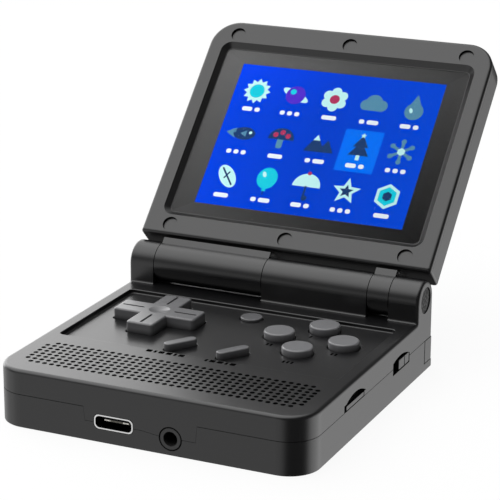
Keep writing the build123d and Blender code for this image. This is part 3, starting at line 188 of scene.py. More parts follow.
# its pixels, and its ground: an even blue at the right, and a stronger one at the left that
# brightens over the upper part
PIXEL_PITCH = 0.1905
PIXEL_WIDTH_SHARE = 0.8
PIXEL_HEIGHT_SHARE = 0.86
PIXEL_GAP_TONE = 0.88
PIXEL_TONE = 1.04
LIT_EDGE = 0.02
MIDDLE_DIM = 0.84
MOTIF_LEFT_TONE = 1.05
MOTIF_RIGHT_TONE = 0.85
LEFT_BLUE = (0.0008, 0.0560, 0.81)
LEFT_HEAD_BLUE = (0.0018, 0.0600, 0.98)
RIGHT_BLUE = (0.0008, 0.0580, 0.645)
HEAD_SHARE = 0.35
PICTURE_TONES = {
    "tile": (0.0012, 0.174, 0.98),
    "white": (0.85, 0.93, 0.98),
    "pale": (0.55, 0.92, 0.92),
    "grey": (0.10, 0.28, 0.42),
    "slate": (0.015, 0.05, 0.16),
    "red": (0.45, 0.04, 0.12),
    "violet": (0.09, 0.03, 0.62),
    "aqua": (0.01, 0.62, 0.78),
}


# ---------------------------------------------------------------- short words for shader trees
COLOUR_A = 6
COLOUR_B = 7
COLOUR_OUT = 2


def rgb(red, green, blue):
    return (red, green, blue, 1.0)


class Wiring:
    """Adds nodes to one shader tree and joins them."""

    def __init__(self, tree):
        self.nodes = tree.nodes
        self.links = tree.links

    def feed(self, socket, value):
        if isinstance(value, bpy.types.NodeSocket):
            self.links.new(value, socket)
        else:
            socket.default_value = value

    def feed_in_order(self, node, values):
        for socket, value in zip(node.inputs, values):
            self.feed(socket, value)

    def feed_by_name(self, sockets, values):
        for name, value in values.items():
            self.feed(sockets[name.replace("_", " ")], value)

    def node(self, kind, **values):
        node = self.nodes.new("ShaderNode" + kind)
        self.feed_by_name(node.inputs, values)
        return node

    def use(self, group, **values):
        node = self.nodes.new("ShaderNodeGroup")
        node.node_tree = group
        self.feed_by_name(node.inputs, values)
        return node

    def maths(self, operation, *values):
        node = self.nodes.new("ShaderNodeMath")
        node.operation = operation
        self.feed_in_order(node, values)
        return node.outputs[0]

    def vector(self, operation, *values):
        node = self.nodes.new("ShaderNodeVectorMath")
        node.operation = operation
        self.feed_in_order(node, values)
        return node.outputs["Value" if operation in ("DOT_PRODUCT", "LENGTH") else "Vector"]

    def scaled(self, colour, amount):
        node = self.node("VectorMath")
        node.operation = "SCALE"
        self.feed(node.inputs[0], colour)
        self.feed(node.inputs["Scale"], amount)
        return node.outputs[0]

    def spread(self, value, low, high, start=0.0, end=1.0):
        """Start where the value is low, end where it is high, and even steps between."""
        node = self.node("MapRange", Value=value, From_Min=low, From_Max=high, To_Min=start, To_Max=end)
        return node.outputs["Result"]

    def varied(self, noise, least, most):
        """Noise turned into a value that strays between least and most."""
        return self.spread(noise, NOISE_LOW, NOISE_HIGH, least, most)

    def between(self, mask, first, second):
        """The first number where the mask is black, and the second where it is white."""
        return self.node("Mix", Factor=mask, A=first, B=second).outputs["Result"]

    def blend(self, mask, first, second):
        """The first colour where the mask is black, and the second where it is white."""
        node = self.node("Mix")
        node.data_type = "RGBA"
        self.feed(node.inputs["Factor"], mask)
        self.feed(node.inputs[COLOUR_A], first)
        self.feed(node.inputs[COLOUR_B], second)
        return node.outputs[COLOUR_OUT]

    def either_shader(self, mask, first, second):
        node = self.nodes.new("ShaderNodeMixShader")
        self.feed_in_order(node, (mask, first, second))
        return node.outputs[0]

    def place(self):
        return self.node("TexCoord").outputs["Object"]

    def noise(self, size_mm, detail=2.0, stretch=None):
        """Noise whose lumps are about size_mm across, stretched along an axis if asked."""
        where = self.place()
        if stretch:
            where = self.vector("MULTIPLY", where, stretch)
        return self.node("TexNoise", Vector=where, Scale=1.0 / (size_mm * MM), Detail=detail).outputs["Fac"]

    def cells(self, size_mm):
        """Distance from the middles of irregular cells about size_mm across."""
        return self.node("TexVoronoi", Vector=self.place(), Scale=1.0 / (size_mm * MM)).outputs["Distance"]


def blank_tree(owner, kind):
    """Empties a node tree, and gives its wiring and the socket that its output takes."""
    owner.use_nodes = True
    owner.node_tree.nodes.clear()
    wire = Wiring(owner.node_tree)
    return wire, wire.node("Output" + kind).inputs[0]


def new_group(name, inputs, outputs):
    """A node group's tree, its wiring, its given values and its results."""
    group = bpy.data.node_groups.new(name, "ShaderNodeTree")
    for label, kind, value in inputs:
        socket = group.interface.new_socket(name=label, in_out="INPUT", socket_type="NodeSocket" + kind)
        socket.default_value = value
    for label, kind in outputs:
        group.interface.new_socket(name=label, in_out="OUTPUT", socket_type="NodeSocket" + kind)
    given = group.nodes.new("NodeGroupInput").outputs
    result = group.nodes.new("NodeGroupOutput").inputs
    return group, Wiring(group), given, result


# ---------------------------------------------------------------- camera, light and floor
def deselect():
    bpy.ops.object.select_all(action="DESELECT")


def place_camera():
    """The photograph's view."""
    data = bpy.data.cameras.new("camera")
    data.sensor_width = SENSOR_WIDTH
    data.lens = SENSOR_WIDTH * FOCAL_PIXELS / IMAGE_PIXELS
    data.clip_start = NEAREST_SEEN
    camera = bpy.data.objects.new("camera", data)
    bpy.context.scene.collection.objects.link(camera)
    forward = Vector(CAMERA_FORWARD).normalized()
    right = Vector(CAMERA_RIGHT).normalized()
    up = right.cross(forward).normalized()
    turn = Matrix((right, up, -forward)).transposed().to_4x4()
    camera.matrix_world = Matrix.Translation(CAMERA_PLACE) @ turn
    bpy.context.scene.camera = camera


def light_room():
    """A dim room, bright overhead and at the rear left, with three low glows; white to the eye."""
    world = bpy.data.worlds.new("studio")
    bpy.context.scene.world = world
    wire, output = blank_tree(world, "World")
    direction = wire.node("TexCoord").outputs["Generated"]
    total = ROOM_LEVEL
    for aim, full, none, strength in ROOM_LIGHTS:
        facing = wire.vector("DOT_PRODUCT", direction, Vector(aim).normalized())
        fade = wire.node("MapRange", Value=facing, To_Max=strength)
        fade.interpolation_type = "SMOOTHSTEP"
        wire.feed(fade.inputs["From Min"], cos(radians(none)))
        wire.feed(fade.inputs["From Max"], cos(radians(full)))
        total = wire.maths("ADD", total, fade.outputs["Result"])
    seen = wire.node("LightPath").outputs["Is Camera Ray"]
    background = wire.node("Background", Strength=wire.between(seen, total, 1.0))
    wire.feed(output, background.outputs[0])


def lay_floor():
    """A white floor with a faint shadow on it, which isn't seen from below or in reflections."""
    deselect()
    bpy.ops.mesh.primitive_plane_add(size=FLOOR_SIZE, location=(0, 0, -FLOOR_GAP))
    floor = bpy.context.object
    floor.name = "floor"
    finish = bpy.data.materials.new("floor_white")
    wire, output = blank_tree(finish, "Material")
    shaded = wire.node("BsdfDiffuse", Color=rgb(*FLOOR_COLOUR)).outputs[0]
    white = wire.node("Emission", Color=rgb(1, 1, 1)).outputs[0]
    surface = wire.either_shader(FLOOR_LIFT, shaded, white)
    camera_ray = wire.node("LightPath").outputs["Is Camera Ray"]
    from_below = wire.node("NewGeometry").outputs["Backfacing"]
    seen = wire.maths("SUBTRACT", camera_ray, from_below)
    seen.node.use_clamp = True
    clear = wire.node("BsdfTransparent").outputs[0]
    wire.feed(output, wire.either_shader(seen, clear, surface))
    floor.data.materials.append(finish)


# ---------------------------------------------------------------- effects that finishes share
def make_moulded_skin():
    """Fine eroded mould texture with slow changes of tone and sheen."""
    group, wire, given, result = new_group(
        "moulded_skin",
        [
            ("Colour", "Color", rgb(0.02, 0.02, 0.02)),
            ("Roughness", "Float", 0.4),
            ("Grain Scale", "Float", 4500.0),
            ("Grain Depth", "Float", 0.1),
            ("Tone Change", "Float", 0.1),
        ],
        [("Colour", "Color"), ("Roughness", "Float"), ("Normal", "Vector")],
    )
    off_even = wire.maths("SUBTRACT", wire.noise(TONE_PATCH, detail=3.0), 0.5)
    tone = wire.maths("MULTIPLY_ADD", off_even, given["Tone Change"], 1.0)
    wire.feed(result["Colour"], wire.scaled(given["Colour"], tone))
    rubbed = wire.spread(wire.noise(RUB_PATCH, detail=3.0), *RUB_RANGE, RUB_SMOOTH, RUB_ROUGH)
    wire.feed(result["Roughness"], wire.maths("MULTIPLY", given["Roughness"], rubbed))
    grain = wire.node("TexNoise", Vector=wire.place(), Scale=given["Grain Scale"], Detail=2.0)
    bump = wire.node(
        "Bump", Strength=given["Grain Depth"], Distance=GRAIN_HEIGHT * MM, Height=grain.outputs["Fac"]
    )
    wire.feed(result["Normal"], bump.outputs[0])
    return group


def make_box_mask():
    """White inside a rounded box, and black outside it."""
    group, wire, given, result = new_group(
        "box_mask",
        [
            ("Centre", "Vector", (0, 0, 0)),
            ("Half Size", "Vector", (MM, MM, MM)),
            ("Rounding", "Float", 0.0),
            ("Softness", "Float", 0.05 * MM),
        ],
        [("Mask", "Float")],
    )
    off_centre = wire.vector("ABSOLUTE", wire.vector("SUBTRACT", wire.place(), given["Centre"]))
    round_by = wire.node("CombineXYZ", X=given["Rounding"], Y=given["Rounding"], Z=given["Rounding"])
    core = wire.vector("SUBTRACT", given["Half Size"], round_by.outputs[0])
    past = wire.vector("MAXIMUM", wire.vector("SUBTRACT", off_centre, core), (0, 0, 0))
    distance = wire.maths("SUBTRACT", wire.vector("LENGTH", past), given["Rounding"])
    share = wire.maths("DIVIDE", distance, given["Softness"])
    wire.feed(result["Mask"], wire.spread(share, 0.0, 1.0, 1.0, 0.0))
    return group


def make_stripes():
    """Straight stripes across a direction, with a pitch and the share that is white."""
    group, wire, given, result = new_group(
        "stripes",
        [("Direction", "Vector", X_AXIS), ("Pitch", "Float", MM), ("Share", "Float", 0.5)],
        [("Mask", "Float")],
    )
    across = wire.vector("DOT_PRODUCT", wire.place(), given["Direction"])
    in_pitches = wire.maths("DIVIDE", across, given["Pitch"])
    off_middle = wire.maths("MULTIPLY", wire.maths("PINGPONG", in_pitches, 0.5), 2.0)
    past_edge = wire.maths("SUBTRACT", off_middle, given["Share"])
    wire.feed(result["Mask"], wire.spread(past_edge, -STRIPE_SOFTNESS, STRIPE_SOFTNESS, 1.0, 0.0))
    return group


def make_screen_place():
    """Place on the screen in millimetres from its middle, to the right and up."""
    group, wire, given, result = new_group("screen_place", [], [("Right", "Float"), ("Up", "Float")])
    middle = HINGE + SCREEN_MIDDLE * MM * ALONG_LID
    offset = wire.vector("SUBTRACT", wire.place(), middle)
    for label, direction in (("Right", Vector(X_AXIS)), ("Up", ALONG_LID)):
        along = wire.vector("DOT_PRODUCT", offset, direction)
        wire.feed(result[label], wire.maths("DIVIDE", along, MM))
    return group


def make_pixels():
    """The picture's fine grid of pixels, which dims a colour a little between them."""
    group, wire, given, result = new_group(
        "pixels", [("Colour", "Color", rgb(1, 1, 1))], [("Colour", "Color")]
    )
    across = stripes_of(wire, X_AXIS, PIXEL_PITCH, PIXEL_WIDTH_SHARE)
    down = stripes_of(wire, ALONG_LID, PIXEL_PITCH, PIXEL_HEIGHT_SHARE)
    lit = wire.maths("MULTIPLY", across, down)
    tone = wire.between(lit, PIXEL_GAP_TONE, PIXEL_TONE)
    wire.feed(result["Colour"], wire.scaled(given["Colour"], tone))
    return group


# ---------------------------------------------------------------- words for finishes
def blank_finish(name, **settings):
    """A material with one Principled shader, whose even settings are given by name."""
    material = bpy.data.materials.new(name)
    wire, output = blank_tree(material, "Material")
    shader = wire.node("BsdfPrincipled", **settings)
    wire.feed(output, shader.outputs[0])
    return material, wire, shader.inputs


def dress(wire, shader, **looks):
    """Gives a shader looks that change over the surface, by its sockets' names."""
    wire.feed_by_name(shader, looks)


def emboss(wire, shader, height, depth_mm, strength):
    """Gives a shader a bump from a height between 0 and 1."""
    bump = wire.node("Bump", Strength=strength, Distance=depth_mm * MM, Height=height)
    wire.feed(shader["Normal"], bump.outputs[0])


def lay_skin(wire, shader, colour, roughness, grain_mm=0.22, grain_depth=0.1, tone=0.1):
    """Gives a shader the moulded skin's colour, roughness and bump."""
    skin = wire.use(
        moulded_skin,
        Colour=colour,
        Roughness=roughness,
        Grain_Scale=1.0 / (grain_mm * MM),
        Grain_Depth=grain_depth,
        Tone_Change=tone,
    ).outputs
    dress(wire, shader, Base_Color=skin["Colour"], Roughness=skin["Roughness"], Normal=skin["Normal"])


def lay_case(wire, shader, dark):
    """The case's plastic, with matt black painted shade where the mask is white."""
    lay_skin(wire, shader, wire.blend(dark, rgb(*CASE_BLACK), rgb(*INK_AND_PAINTED_SHADE)), CASE_SHEEN)
    dress(wire, shader, Roughness=wire.between(dark, CASE_SHEEN, MATT))


def lay_dark_glass(wire, shader):
    """Black glass with slight changes, behind a picture that gives its own light."""
    clean = rgb(0.0003, 0.0003, 0.0003)
    hazy = rgb(0.001, 0.001, 0.001)
    dress(
        wire,
        shader,
        Base_Color=wire.blend(wire.noise(2.0), clean, hazy),
        Roughness=wire.varied(wire.noise(4.0), least=0.3, most=0.4),
    )


def box_of(wire, centre, half_size, rounding=0.0, softness=0.05):
    """A rounded box mask, from sizes in millimetres."""
    return wire.use(
        box_mask,
        Centre=Vector(centre) * MM,
        Half_Size=Vector(half_size) * MM,
        Rounding=rounding * MM,
        Softness=softness * MM,
    ).outputs[0]


def stripes_of(wire, direction, pitch, share):
    return wire.use(stripes, Direction=direction, Pitch=pitch * MM, Share=share).outputs[0]


def weave_of(wire, pitch, share):
    """Small squares, where stripes across both axes meet."""
    return wire.maths(
        "MULTIPLY", stripes_of(wire, X_AXIS, pitch, share), stripes_of(wire, Y_AXIS, pitch, share)
    )


def from_jack(wire):
    """Distance from the headphone socket's axis."""
    offset = wire.vector("SUBTRACT", wire.place(), Vector((JACK_X, 0, JACK_Z)) * MM)
    return wire.vector("LENGTH", wire.vector("MULTIPLY", offset, (1, 0, 1)))


def seen_only(wire, colour):
    """Keeps the picture's light off the case, which shows no glow from it."""
    path = wire.node("LightPath").outputs
    mirrored = wire.maths("SUBTRACT", path["Ray Depth"], path["Transmission Depth"])
    return wire.blend(mirrored, colour, rgb(0, 0, 0))


# ---------------------------------------------------------------- finishes of the outside
def plain_finish(name, colour, roughness, skin=None, **settings):
    """The moulded skin in one colour, with the skin's own values where they differ."""
    material, wire, shader = blank_finish(name, **settings)
    lay_skin(wire, shader, rgb(*colour), roughness, **(skin or {}))
    return material


def finish_shell():
    """Case plastic, with matt black painted shade in the groove round the headphone socket."""
    material, wire, shader = blank_finish("case_plastic_socket", IOR=CASE_IOR)
    hole = COLLAR_RADIUS + COLLAR_GAP
    # painted shade: the groove round the collar is painted matt black
    lay_case(wire, shader, wire.spread(from_jack(wire), (hole + 0.03) * MM, (hole + 0.09) * MM, 1.0, 0.0))
    return material


def finish_jack():
    """The case's plastic at the collar's face, with matt black painted shade in its bore and on its rim."""
    material, wire, shader = blank_finish("jack_plastic", IOR=CASE_IOR)
    radius = from_jack(wire)
    # painted shade: the bore and the collar's rim are painted matt black
    bore = wire.spread(radius, (JACK_RADIUS + 0.02) * MM, (JACK_RADIUS + 0.12) * MM, 1.0, 0.0)
    rim = wire.spread(radius, (COLLAR_RADIUS - 0.14) * MM, (COLLAR_RADIUS - 0.06) * MM)
    lay_case(wire, shader, wire.maths("MAXIMUM", bore, rim))
    return material


def finish_keys(name, grey):
    """Satin grey plastic, with painted shade darkening it towards its foot."""
    material, wire, shader = blank_finish(name, IOR=CASE_IOR)
    height = wire.node("SeparateXYZ", Vector=wire.place()).outputs["Z"]
    painted_shade_top = (PANEL_FLOOR + KEY_FOOT_PAINTED_SHADE_RISE) * MM
    # painted shade: the grey darkens from the button's top down to its foot
    tone = wire.spread(height, PANEL_FLOOR * MM, painted_shade_top, KEY_FOOT_PAINTED_SHADE_TONE, 1.0)
    lay_skin(wire, shader, wire.scaled(grey, tone), CASE_SHEEN, grain_mm=0.25, grain_depth=0.04)
    return material


def finish_ink():
    """Matt black ink of the marks printed on the base."""
    material, wire, shader = blank_finish("panel_ink", Specular_IOR_Level=0.0)
    worn = rgb(0.004, 0.004, 0.004)
    dress(
        wire,
        shader,
        Base_Color=wire.blend(wire.noise(0.4), rgb(*INK_AND_PAINTED_SHADE), worn),
        Roughness=wire.varied(wire.noise(0.5), least=0.8, most=0.95),
    )
    return material


def finish_cap():
    """A pebbled rubbery disc over the hinge pin, with painted shade in the hollows between its pebbles."""
    material, wire, shader = blank_finish("cap_plastic", IOR=CASE_IOR)
    pebbles = wire.spread(wire.cells(0.75), 0.0, 0.6, 1.0, 0.0)
    # painted shade: the colour darkens from the pebbles' tops down into their hollows
    painted_shade_hollows = rgb(0.002, 0.002, 0.002)
    tops = rgb(0.012, 0.012, 0.013)
    dress(
        wire,
        shader,
        Base_Color=wire.blend(pebbles, painted_shade_hollows, tops),
        Roughness=wire.between(pebbles, 0.75, 0.4),
    )
    emboss(wire, shader, pebbles, depth_mm=0.15, strength=0.9)
    return material


def finish_socket_shell():
    """A drawn steel socket: bright at its rim, dark inside with painted shade."""
    material, wire, shader = blank_finish("socket_metal", Metallic=1.0)
    drawn = wire.noise(0.25, detail=3.0, stretch=(1.0, 0.12, 1.0))
    mouth = (MOUTH_HALF_WIDTH, BEYOND, MOUTH_HALF_HEIGHT)
    # painted shade: the socket's inside is painted near black
    inside = box_of(wire, (USB_X, 0, USB_Z), mouth, MOUTH_RADIUS, softness=0.06)
    bright = wire.blend(drawn, rgb(0.78, 0.78, 0.78), rgb(0.93, 0.93, 0.92))
    shade = rgb(0.004, 0.004, 0.004)
    dress(
        wire,
        shader,
        Base_Color=wire.blend(inside, bright, shade),
        Roughness=wire.varied(drawn, least=0.34, most=0.46),
    )
    emboss(wire, shader, drawn, depth_mm=0.01, strength=0.1)
    return material


def finish_tongue():
    """Black moulding with a row of bright contacts, with painted highlight on the outer ones and painted
    shade dimming its middle ones.
    """
    material, wire, shader = blank_finish("tongue_black")
    bars = stripes_of(wire, X_AXIS, CONTACT_PITCH, share=0.7)
    row = box_of(wire, (USB_X, TONGUE_FRONT + CONTACT_SETBACK, CONTACT_LEVEL), CONTACT_ROW)
    contacts = wire.maths("MULTIPLY", bars, row)
    # painted highlight and shade: the middle contacts are painted dim, the outer ones bright
    painted_dim_ones = box_of(wire, (USB_X, TONGUE_FRONT, USB_Z), PAINTED_DIM_CONTACTS)
    gilt = wire.blend(painted_dim_ones, rgb(0.95, 0.92, 0.84), rgb(0.2, 0.19, 0.16))
    black = rgb(0.003, 0.003, 0.003)
    dress(
        wire,
        shader,
        Base_Color=wire.blend(contacts, black, gilt),
        Metallic=contacts,
        Roughness=wire.between(contacts, 0.6, 0.35),
    )
    emboss(wire, shader, wire.noise(0.2), depth_mm=0.01, strength=0.1)
    return material


def finish_card():
    """Dark plastic with gilt contacts on the end that goes in."""
    material, wire, shader = blank_finish("card_plastic", IOR=CASE_IOR)
    bars = stripes_of(wire, Y_AXIS, CARD_CONTACT_PITCH, share=0.68)
    middle = (CARD_INNER_END + CARD_CONTACT_SETBACK, CARD_MIDDLE, CARD_LOW)
    row = box_of(wire, middle, CARD_CONTACT_ROW, rounding=0.1)
    contacts = wire.maths("MULTIPLY", bars, row)
    gilt = rgb(0.8, 0.58, 0.22)
    lay_skin(wire, shader, wire.blend(contacts, rgb(*CASE_BLACK), gilt), CASE_SHEEN)
    dress(wire, shader, Metallic=contacts)
    return material


# ---------------------------------------------------------------- finishes of the screen
def finish_display():
    """Black glass round a lit blue ground, brighter to its left and dimmer in its middle."""
    material, wire, shader = blank_finish("screen_panel", Specular_IOR_Level=0.0, Emission_Strength=1.0)
    where = wire.use(screen_place).outputs
    head_foot = SCREEN_HEIGHT * (0.5 - HEAD_SHARE)
    head = wire.spread(where["Up"], head_foot, SCREEN_HEIGHT / 2)
    left = wire.blend(head, rgb(*LEFT_BLUE), rgb(*LEFT_HEAD_BLUE))
    across = wire.spread(where["Right"], -SCREEN_WIDTH / 2, SCREEN_WIDTH / 2)
    ground = wire.blend(across, left, rgb(*RIGHT_BLUE))
    off_middle = wire.maths("ABSOLUTE", where["Right"])
    tone = wire.spread(off_middle, 0.0, SCREEN_WIDTH / 2, MIDDLE_DIM, 1.0)
    blue = wire.use(pixels, Colour=wire.scaled(ground, tone)).outputs[0]
    past_side = wire.maths("SUBTRACT", off_middle, SCREEN_WIDTH / 2)
    past_head = wire.maths("SUBTRACT", wire.maths("ABSOLUTE", where["Up"]), SCREEN_HEIGHT / 2)
    past_edge = wire.maths("MAXIMUM", past_side, past_head)
    lit = wire.spread(past_edge, -LIT_EDGE, LIT_EDGE, 1.0, 0.0)
    dress(wire, shader, Emission_Color=seen_only(wire, wire.blend(lit, rgb(0, 0, 0), blue)))
    lay_dark_glass(wire, shader)
    return material


def finish_motif(name, colour):
    """One colour of the picture, a little brighter to the left, with its pixels."""
    material, wire, shader = blank_finish(name, Specular_IOR_Level=0.0, Emission_Strength=1.0)
    right = wire.use(screen_place).outputs["Right"]
    tone = wire.spread(right, -SCREEN_WIDTH / 2, SCREEN_WIDTH / 2, MOTIF_LEFT_TONE, MOTIF_RIGHT_TONE)
    lit = wire.use(pixels, Colour=wire.scaled(colour, tone)).outputs[0]
    dress(wire, shader, Emission_Color=seen_only(wire, lit))
    lay_dark_glass(wire, shader)
    return material


def finish_border():
    """Grey print round the picture with a painted reflection, lighter towards its upper left and darker
    towards its lower right corner.
    """
    material, wire, shader = blank_finish("border_print_and_reflection", Specular_IOR_Level=0.0)
    where = wire.use(screen_place).outputs
    # painted reflection: the print's grey lightens towards the upper left and darkens towards the lower
    # right
    across = wire.spread(where["Right"], -BORDER_REFLECTION_WIDTH / 2, BORDER_REFLECTION_WIDTH / 2, *BORDER_REFLECTION_ACROSS)
    up = wire.spread(where["Up"], -BORDER_REFLECTION_HEIGHT / 2, BORDER_REFLECTION_HEIGHT / 2, *BORDER_REFLECTION_UP)
    light = wire.maths("POWER", wire.maths("ADD", across, up), TONE_TO_LIGHT)
    cloudy = wire.varied(wire.noise(1.5), least=0.97, most=1.03)
    dress(
        wire,
        shader,
        Base_Color=wire.scaled(BORDER_WHITE, wire.maths("MULTIPLY", light, cloudy)),
        Roughness=wire.varied(wire.noise(0.4), least=0.5, most=0.6),
    )
    return material


def finish_lens():
    """Clear coated glass with the faintest film of haze."""
    material, wire, shader = blank_finish("lens_glass", IOR=LENS_IOR, Transmission_Weight=1.0)
    haze = wire.noise(14.0, detail=4.0)
    dress(
        wire,
        shader,
        Base_Color=wire.blend(haze, rgb(0.985, 0.985, 0.985), rgb(1, 1, 1)),
        Roughness=wire.spread(haze, 0.4, 0.8, 0.0, 0.02),
    )
    return material


# ---------------------------------------------------------------- finishes of the inside
def finish_metal(name, colour, roughness, brushed=(1.0, 1.0, 0.15)):
    """Metal with fine drawn or brushed lines."""
    material, wire, shader = blank_finish(name, Metallic=1.0)
    lines = wire.noise(0.12, detail=3.0, stretch=brushed)
    dull = [0.85 * part for part in colour]
    dress(
        wire,
        shader,
        Base_Color=wire.blend(lines, rgb(*dull), rgb(*colour)),
        Roughness=wire.varied(lines, least=0.85 * roughness, most=1.2 * roughness),
    )
    emboss(wire, shader, lines, depth_mm=0.01, strength=0.12)
    return material


def finish_board():
    """Green solder mask over copper tracks, with tinned pads."""
    material, wire, shader = blank_finish("circuit_board")
    tracks = wire.maths(
        "MULTIPLY",
        stripes_of(wire, DIAGONAL, pitch=0.9, share=0.35),
        wire.spread(wire.noise(9.0, detail=0.0), 0.48, 0.52),
    )
    lanes = wire.maths(
        "MULTIPLY",
        stripes_of(wire, X_AXIS, pitch=1.27, share=0.3),
        wire.spread(wire.noise(7.0, detail=0.0), 0.55, 0.58),
    )
    copper = wire.maths("MAXIMUM", tracks, lanes)
    pads = wire.spread(wire.cells(2.6), 0.1, 0.13, 1.0, 0.0)
    green = wire.blend(copper, rgb(0.004, 0.05, 0.02), rgb(0.012, 0.12, 0.045))
    tin = rgb(0.6, 0.6, 0.58)
    dress(
        wire,
        shader,
        Base_Color=wire.blend(pads, green, tin),
        Metallic=pads,
        Roughness=wire.between(pads, 0.32, 0.25),
    )
    emboss(wire, shader, copper, depth_mm=0.03, strength=0.4)
    return material


def finish_wrap():
    """Silvery pouch foil with soft dents and a faint quilting."""
    material, wire, shader = blank_finish("battery_wrap", Metallic=0.85)
    dents = wire.noise(6.0, detail=3.0)
    dress(
        wire,
        shader,
        Base_Color=wire.blend(dents, rgb(0.42, 0.43, 0.45), rgb(0.6, 0.61, 0.63)),
        Roughness=wire.varied(dents, least=0.32, most=0.5),
    )
    quilting = wire.maths("MULTIPLY", weave_of(wire, pitch=0.5, share=0.6), 0.05)
    emboss(wire, shader, wire.maths("ADD", dents, quilting), depth_mm=0.2, strength=0.5)
    return material


def finish_rubber():
    """Translucent grey silicone, slightly cloudy."""
    material, wire, shader = blank_finish("key_rubber", Subsurface_Weight=0.2, Subsurface_Scale=MM)
    grey = rgb(0.4, 0.41, 0.42)
    lay_skin(wire, shader, grey, roughness=0.55, grain_mm=0.5, grain_depth=0.15, tone=0.3)
    return material


def finish_foam():
    """Black open-cell foam, with painted shade in its pores."""
    material, wire, shader = blank_finish("foam")
    cells = wire.cells(0.4)
    # painted shade: each cell is darker at its sunken middle
    dress(
        wire,
        shader,
        Base_Color=wire.blend(cells, rgb(0.006, 0.006, 0.006), rgb(0.04, 0.04, 0.04)),
        Roughness=wire.between(cells, 0.95, 0.8),
    )
    emboss(wire, shader, cells, depth_mm=0.15, strength=0.8)
    return material


def finish_ribbon():
    """Amber film over fine copper lines that run along it."""
    material, wire, shader = blank_finish("ribbon_film")
    lines = stripes_of(wire, X_AXIS, pitch=0.5, share=0.55)
    cloudy = wire.noise(3.0)
    film = wire.blend(cloudy, rgb(0.28, 0.09, 0.012), rgb(0.4, 0.15, 0.02))
    copper = rgb(0.75, 0.32, 0.1)
    dress(
        wire,
        shader,
        Base_Color=wire.blend(lines, film, copper),
        Metallic=wire.maths("MULTIPLY", lines, 0.6),
        Roughness=wire.varied(cloudy, least=0.25, most=0.38),
    )
    emboss(wire, shader, lines, depth_mm=0.02, strength=0.3)
    return material


def finish_speaker():
    """A black frame and a woven dust cover, with painted shade in the gaps of its weave."""
    material, wire, shader = blank_finish("speaker_plastic")
    weave = weave_of(wire, pitch=0.4, share=0.6)
    # painted shade: the gaps between the raised squares of the weave are darker
    dress(
        wire,
        shader,
        Base_Color=wire.blend(weave, rgb(0.004, 0.004, 0.004), rgb(0.03, 0.03, 0.032)),
        Roughness=wire.between(weave, 0.85, 0.55),
    )
    emboss(wire, shader, weave, depth_mm=0.06, strength=0.5)
    return material


# ---------------------------------------------------------------- flat shapes for what is printed
def disc(sides, radius, at, stretch=(1, 1), turn=0, pull=1.0, half=False, layer=0):
    """A circle or polygon, stretched and turned; a star if it is pulled; or only its upper half."""
    deselect()
    middle = Vector((at[0] * MM, at[1] * MM, (PICTURE_REST + layer * LAYER) * MM))
    bpy.ops.mesh.primitive_circle_add(
        vertices=sides, radius=radius * MM, fill_type="NGON", location=middle
    )
    plate = bpy.context.object
    bpy.ops.object.transform_apply(location=True, rotation=False, scale=False)
    bpy.ops.object.mode_set(mode="EDIT")
    bpy.ops.mesh.select_mode(type="VERT")
    if pull != 1.0:
        bpy.ops.mesh.select_all(action="DESELECT")
        bpy.ops.object.mode_set(mode="OBJECT")
        for corner in plate.data.vertices:
            corner.select = corner.index % 2 == 1
        bpy.ops.object.mode_set(mode="EDIT")
        bpy.ops.transform.resize(value=(pull, pull, 1), center_override=middle)
    bpy.ops.mesh.select_all(action="SELECT")
    if half:
        bpy.ops.mesh.bisect(plane_co=middle, plane_no=Y_AXIS, clear_inner=True)
        bpy.ops.mesh.select_all(action="SELECT")
    bpy.ops.transform.resize(value=(*stretch, 1), center_override=middle)
    turn_flat(turn, middle)
    bpy.ops.object.mode_set(mode="OBJECT")
    return plate


def turn_flat(turn, middle):
    """Turns what is selected in its own plane, anticlockwise, by an angle in degrees."""
    if turn:
        bpy.ops.transform.rotate(
            value=radians(turn), orient_axis="Z", orient_type="GLOBAL", center_override=middle
        )


def slab(width, height, at, rounding=0.0, turn=0, layer=0):
    """A flat bar with rounded corners."""
    plate = disc(4, 1.0, (0, 0), turn=45, layer=layer)
    full = plate.dimensions.x
    middle = (0, 0, 0)
    bpy.ops.object.mode_set(mode="EDIT")
    bpy.ops.mesh.select_all(action="SELECT")
    bpy.ops.transform.resize(value=(width * MM / full, height * MM / full, 1), center_override=middle)
    if rounding:
        bpy.ops.mesh.bevel(offset=rounding * MM, segments=BAR_CORNER_STEPS, affect="VERTICES")
        bpy.ops.mesh.select_all(action="SELECT")
    turn_flat(turn, middle)
    bpy.ops.transform.translate(value=(at[0] * MM, at[1] * MM, 0))
    bpy.ops.object.mode_set(mode="OBJECT")
    return plate


def petals(count, radius, reach, at, layer=0):
    """Round petals in a ring."""
    ring = []
    for index in range(count):
        angle = radians(90 + 360 * index / count)
        tip = (at[0] + reach * cos(angle), at[1] + reach * sin(angle))
        ring.append(disc(16, radius, tip, layer=layer))
    return ring


def row_of_bars(x, y, widths, height, gap, rounding):
    """A line of rounded bars of the given widths, centred on a place."""
    left = x - (sum(widths) + gap * (len(widths) - 1)) / 2
    bars = []
    for width in widths:
        bars.append(slab(width, height, (left + width / 2, y), rounding))
        left += width + gap
    return bars


# ---------------------------------------------------------------- motifs, by the tone of each shape
def sun(x, y):
    return {"pale": [disc(24, 4.1, (x, y), pull=0.74)], "aqua": [disc(20, 2.2, (x, y), layer=1)]}


def planet(x, y):
    return {
        "violet": [disc(24, 2.9, (x, y), layer=1)],
        "pale": [disc(28, 4.5, (x, y), (1, 0.3), 24)],
        "aqua": [disc(16, 0.9, (x - 0.9, y + 1.0), layer=2)],
    }


def flower(x, y):
    return {"pale": petals(6, 1.5, 2.4, (x, y)), "red": [disc(20, 1.45, (x, y), layer=1)]}


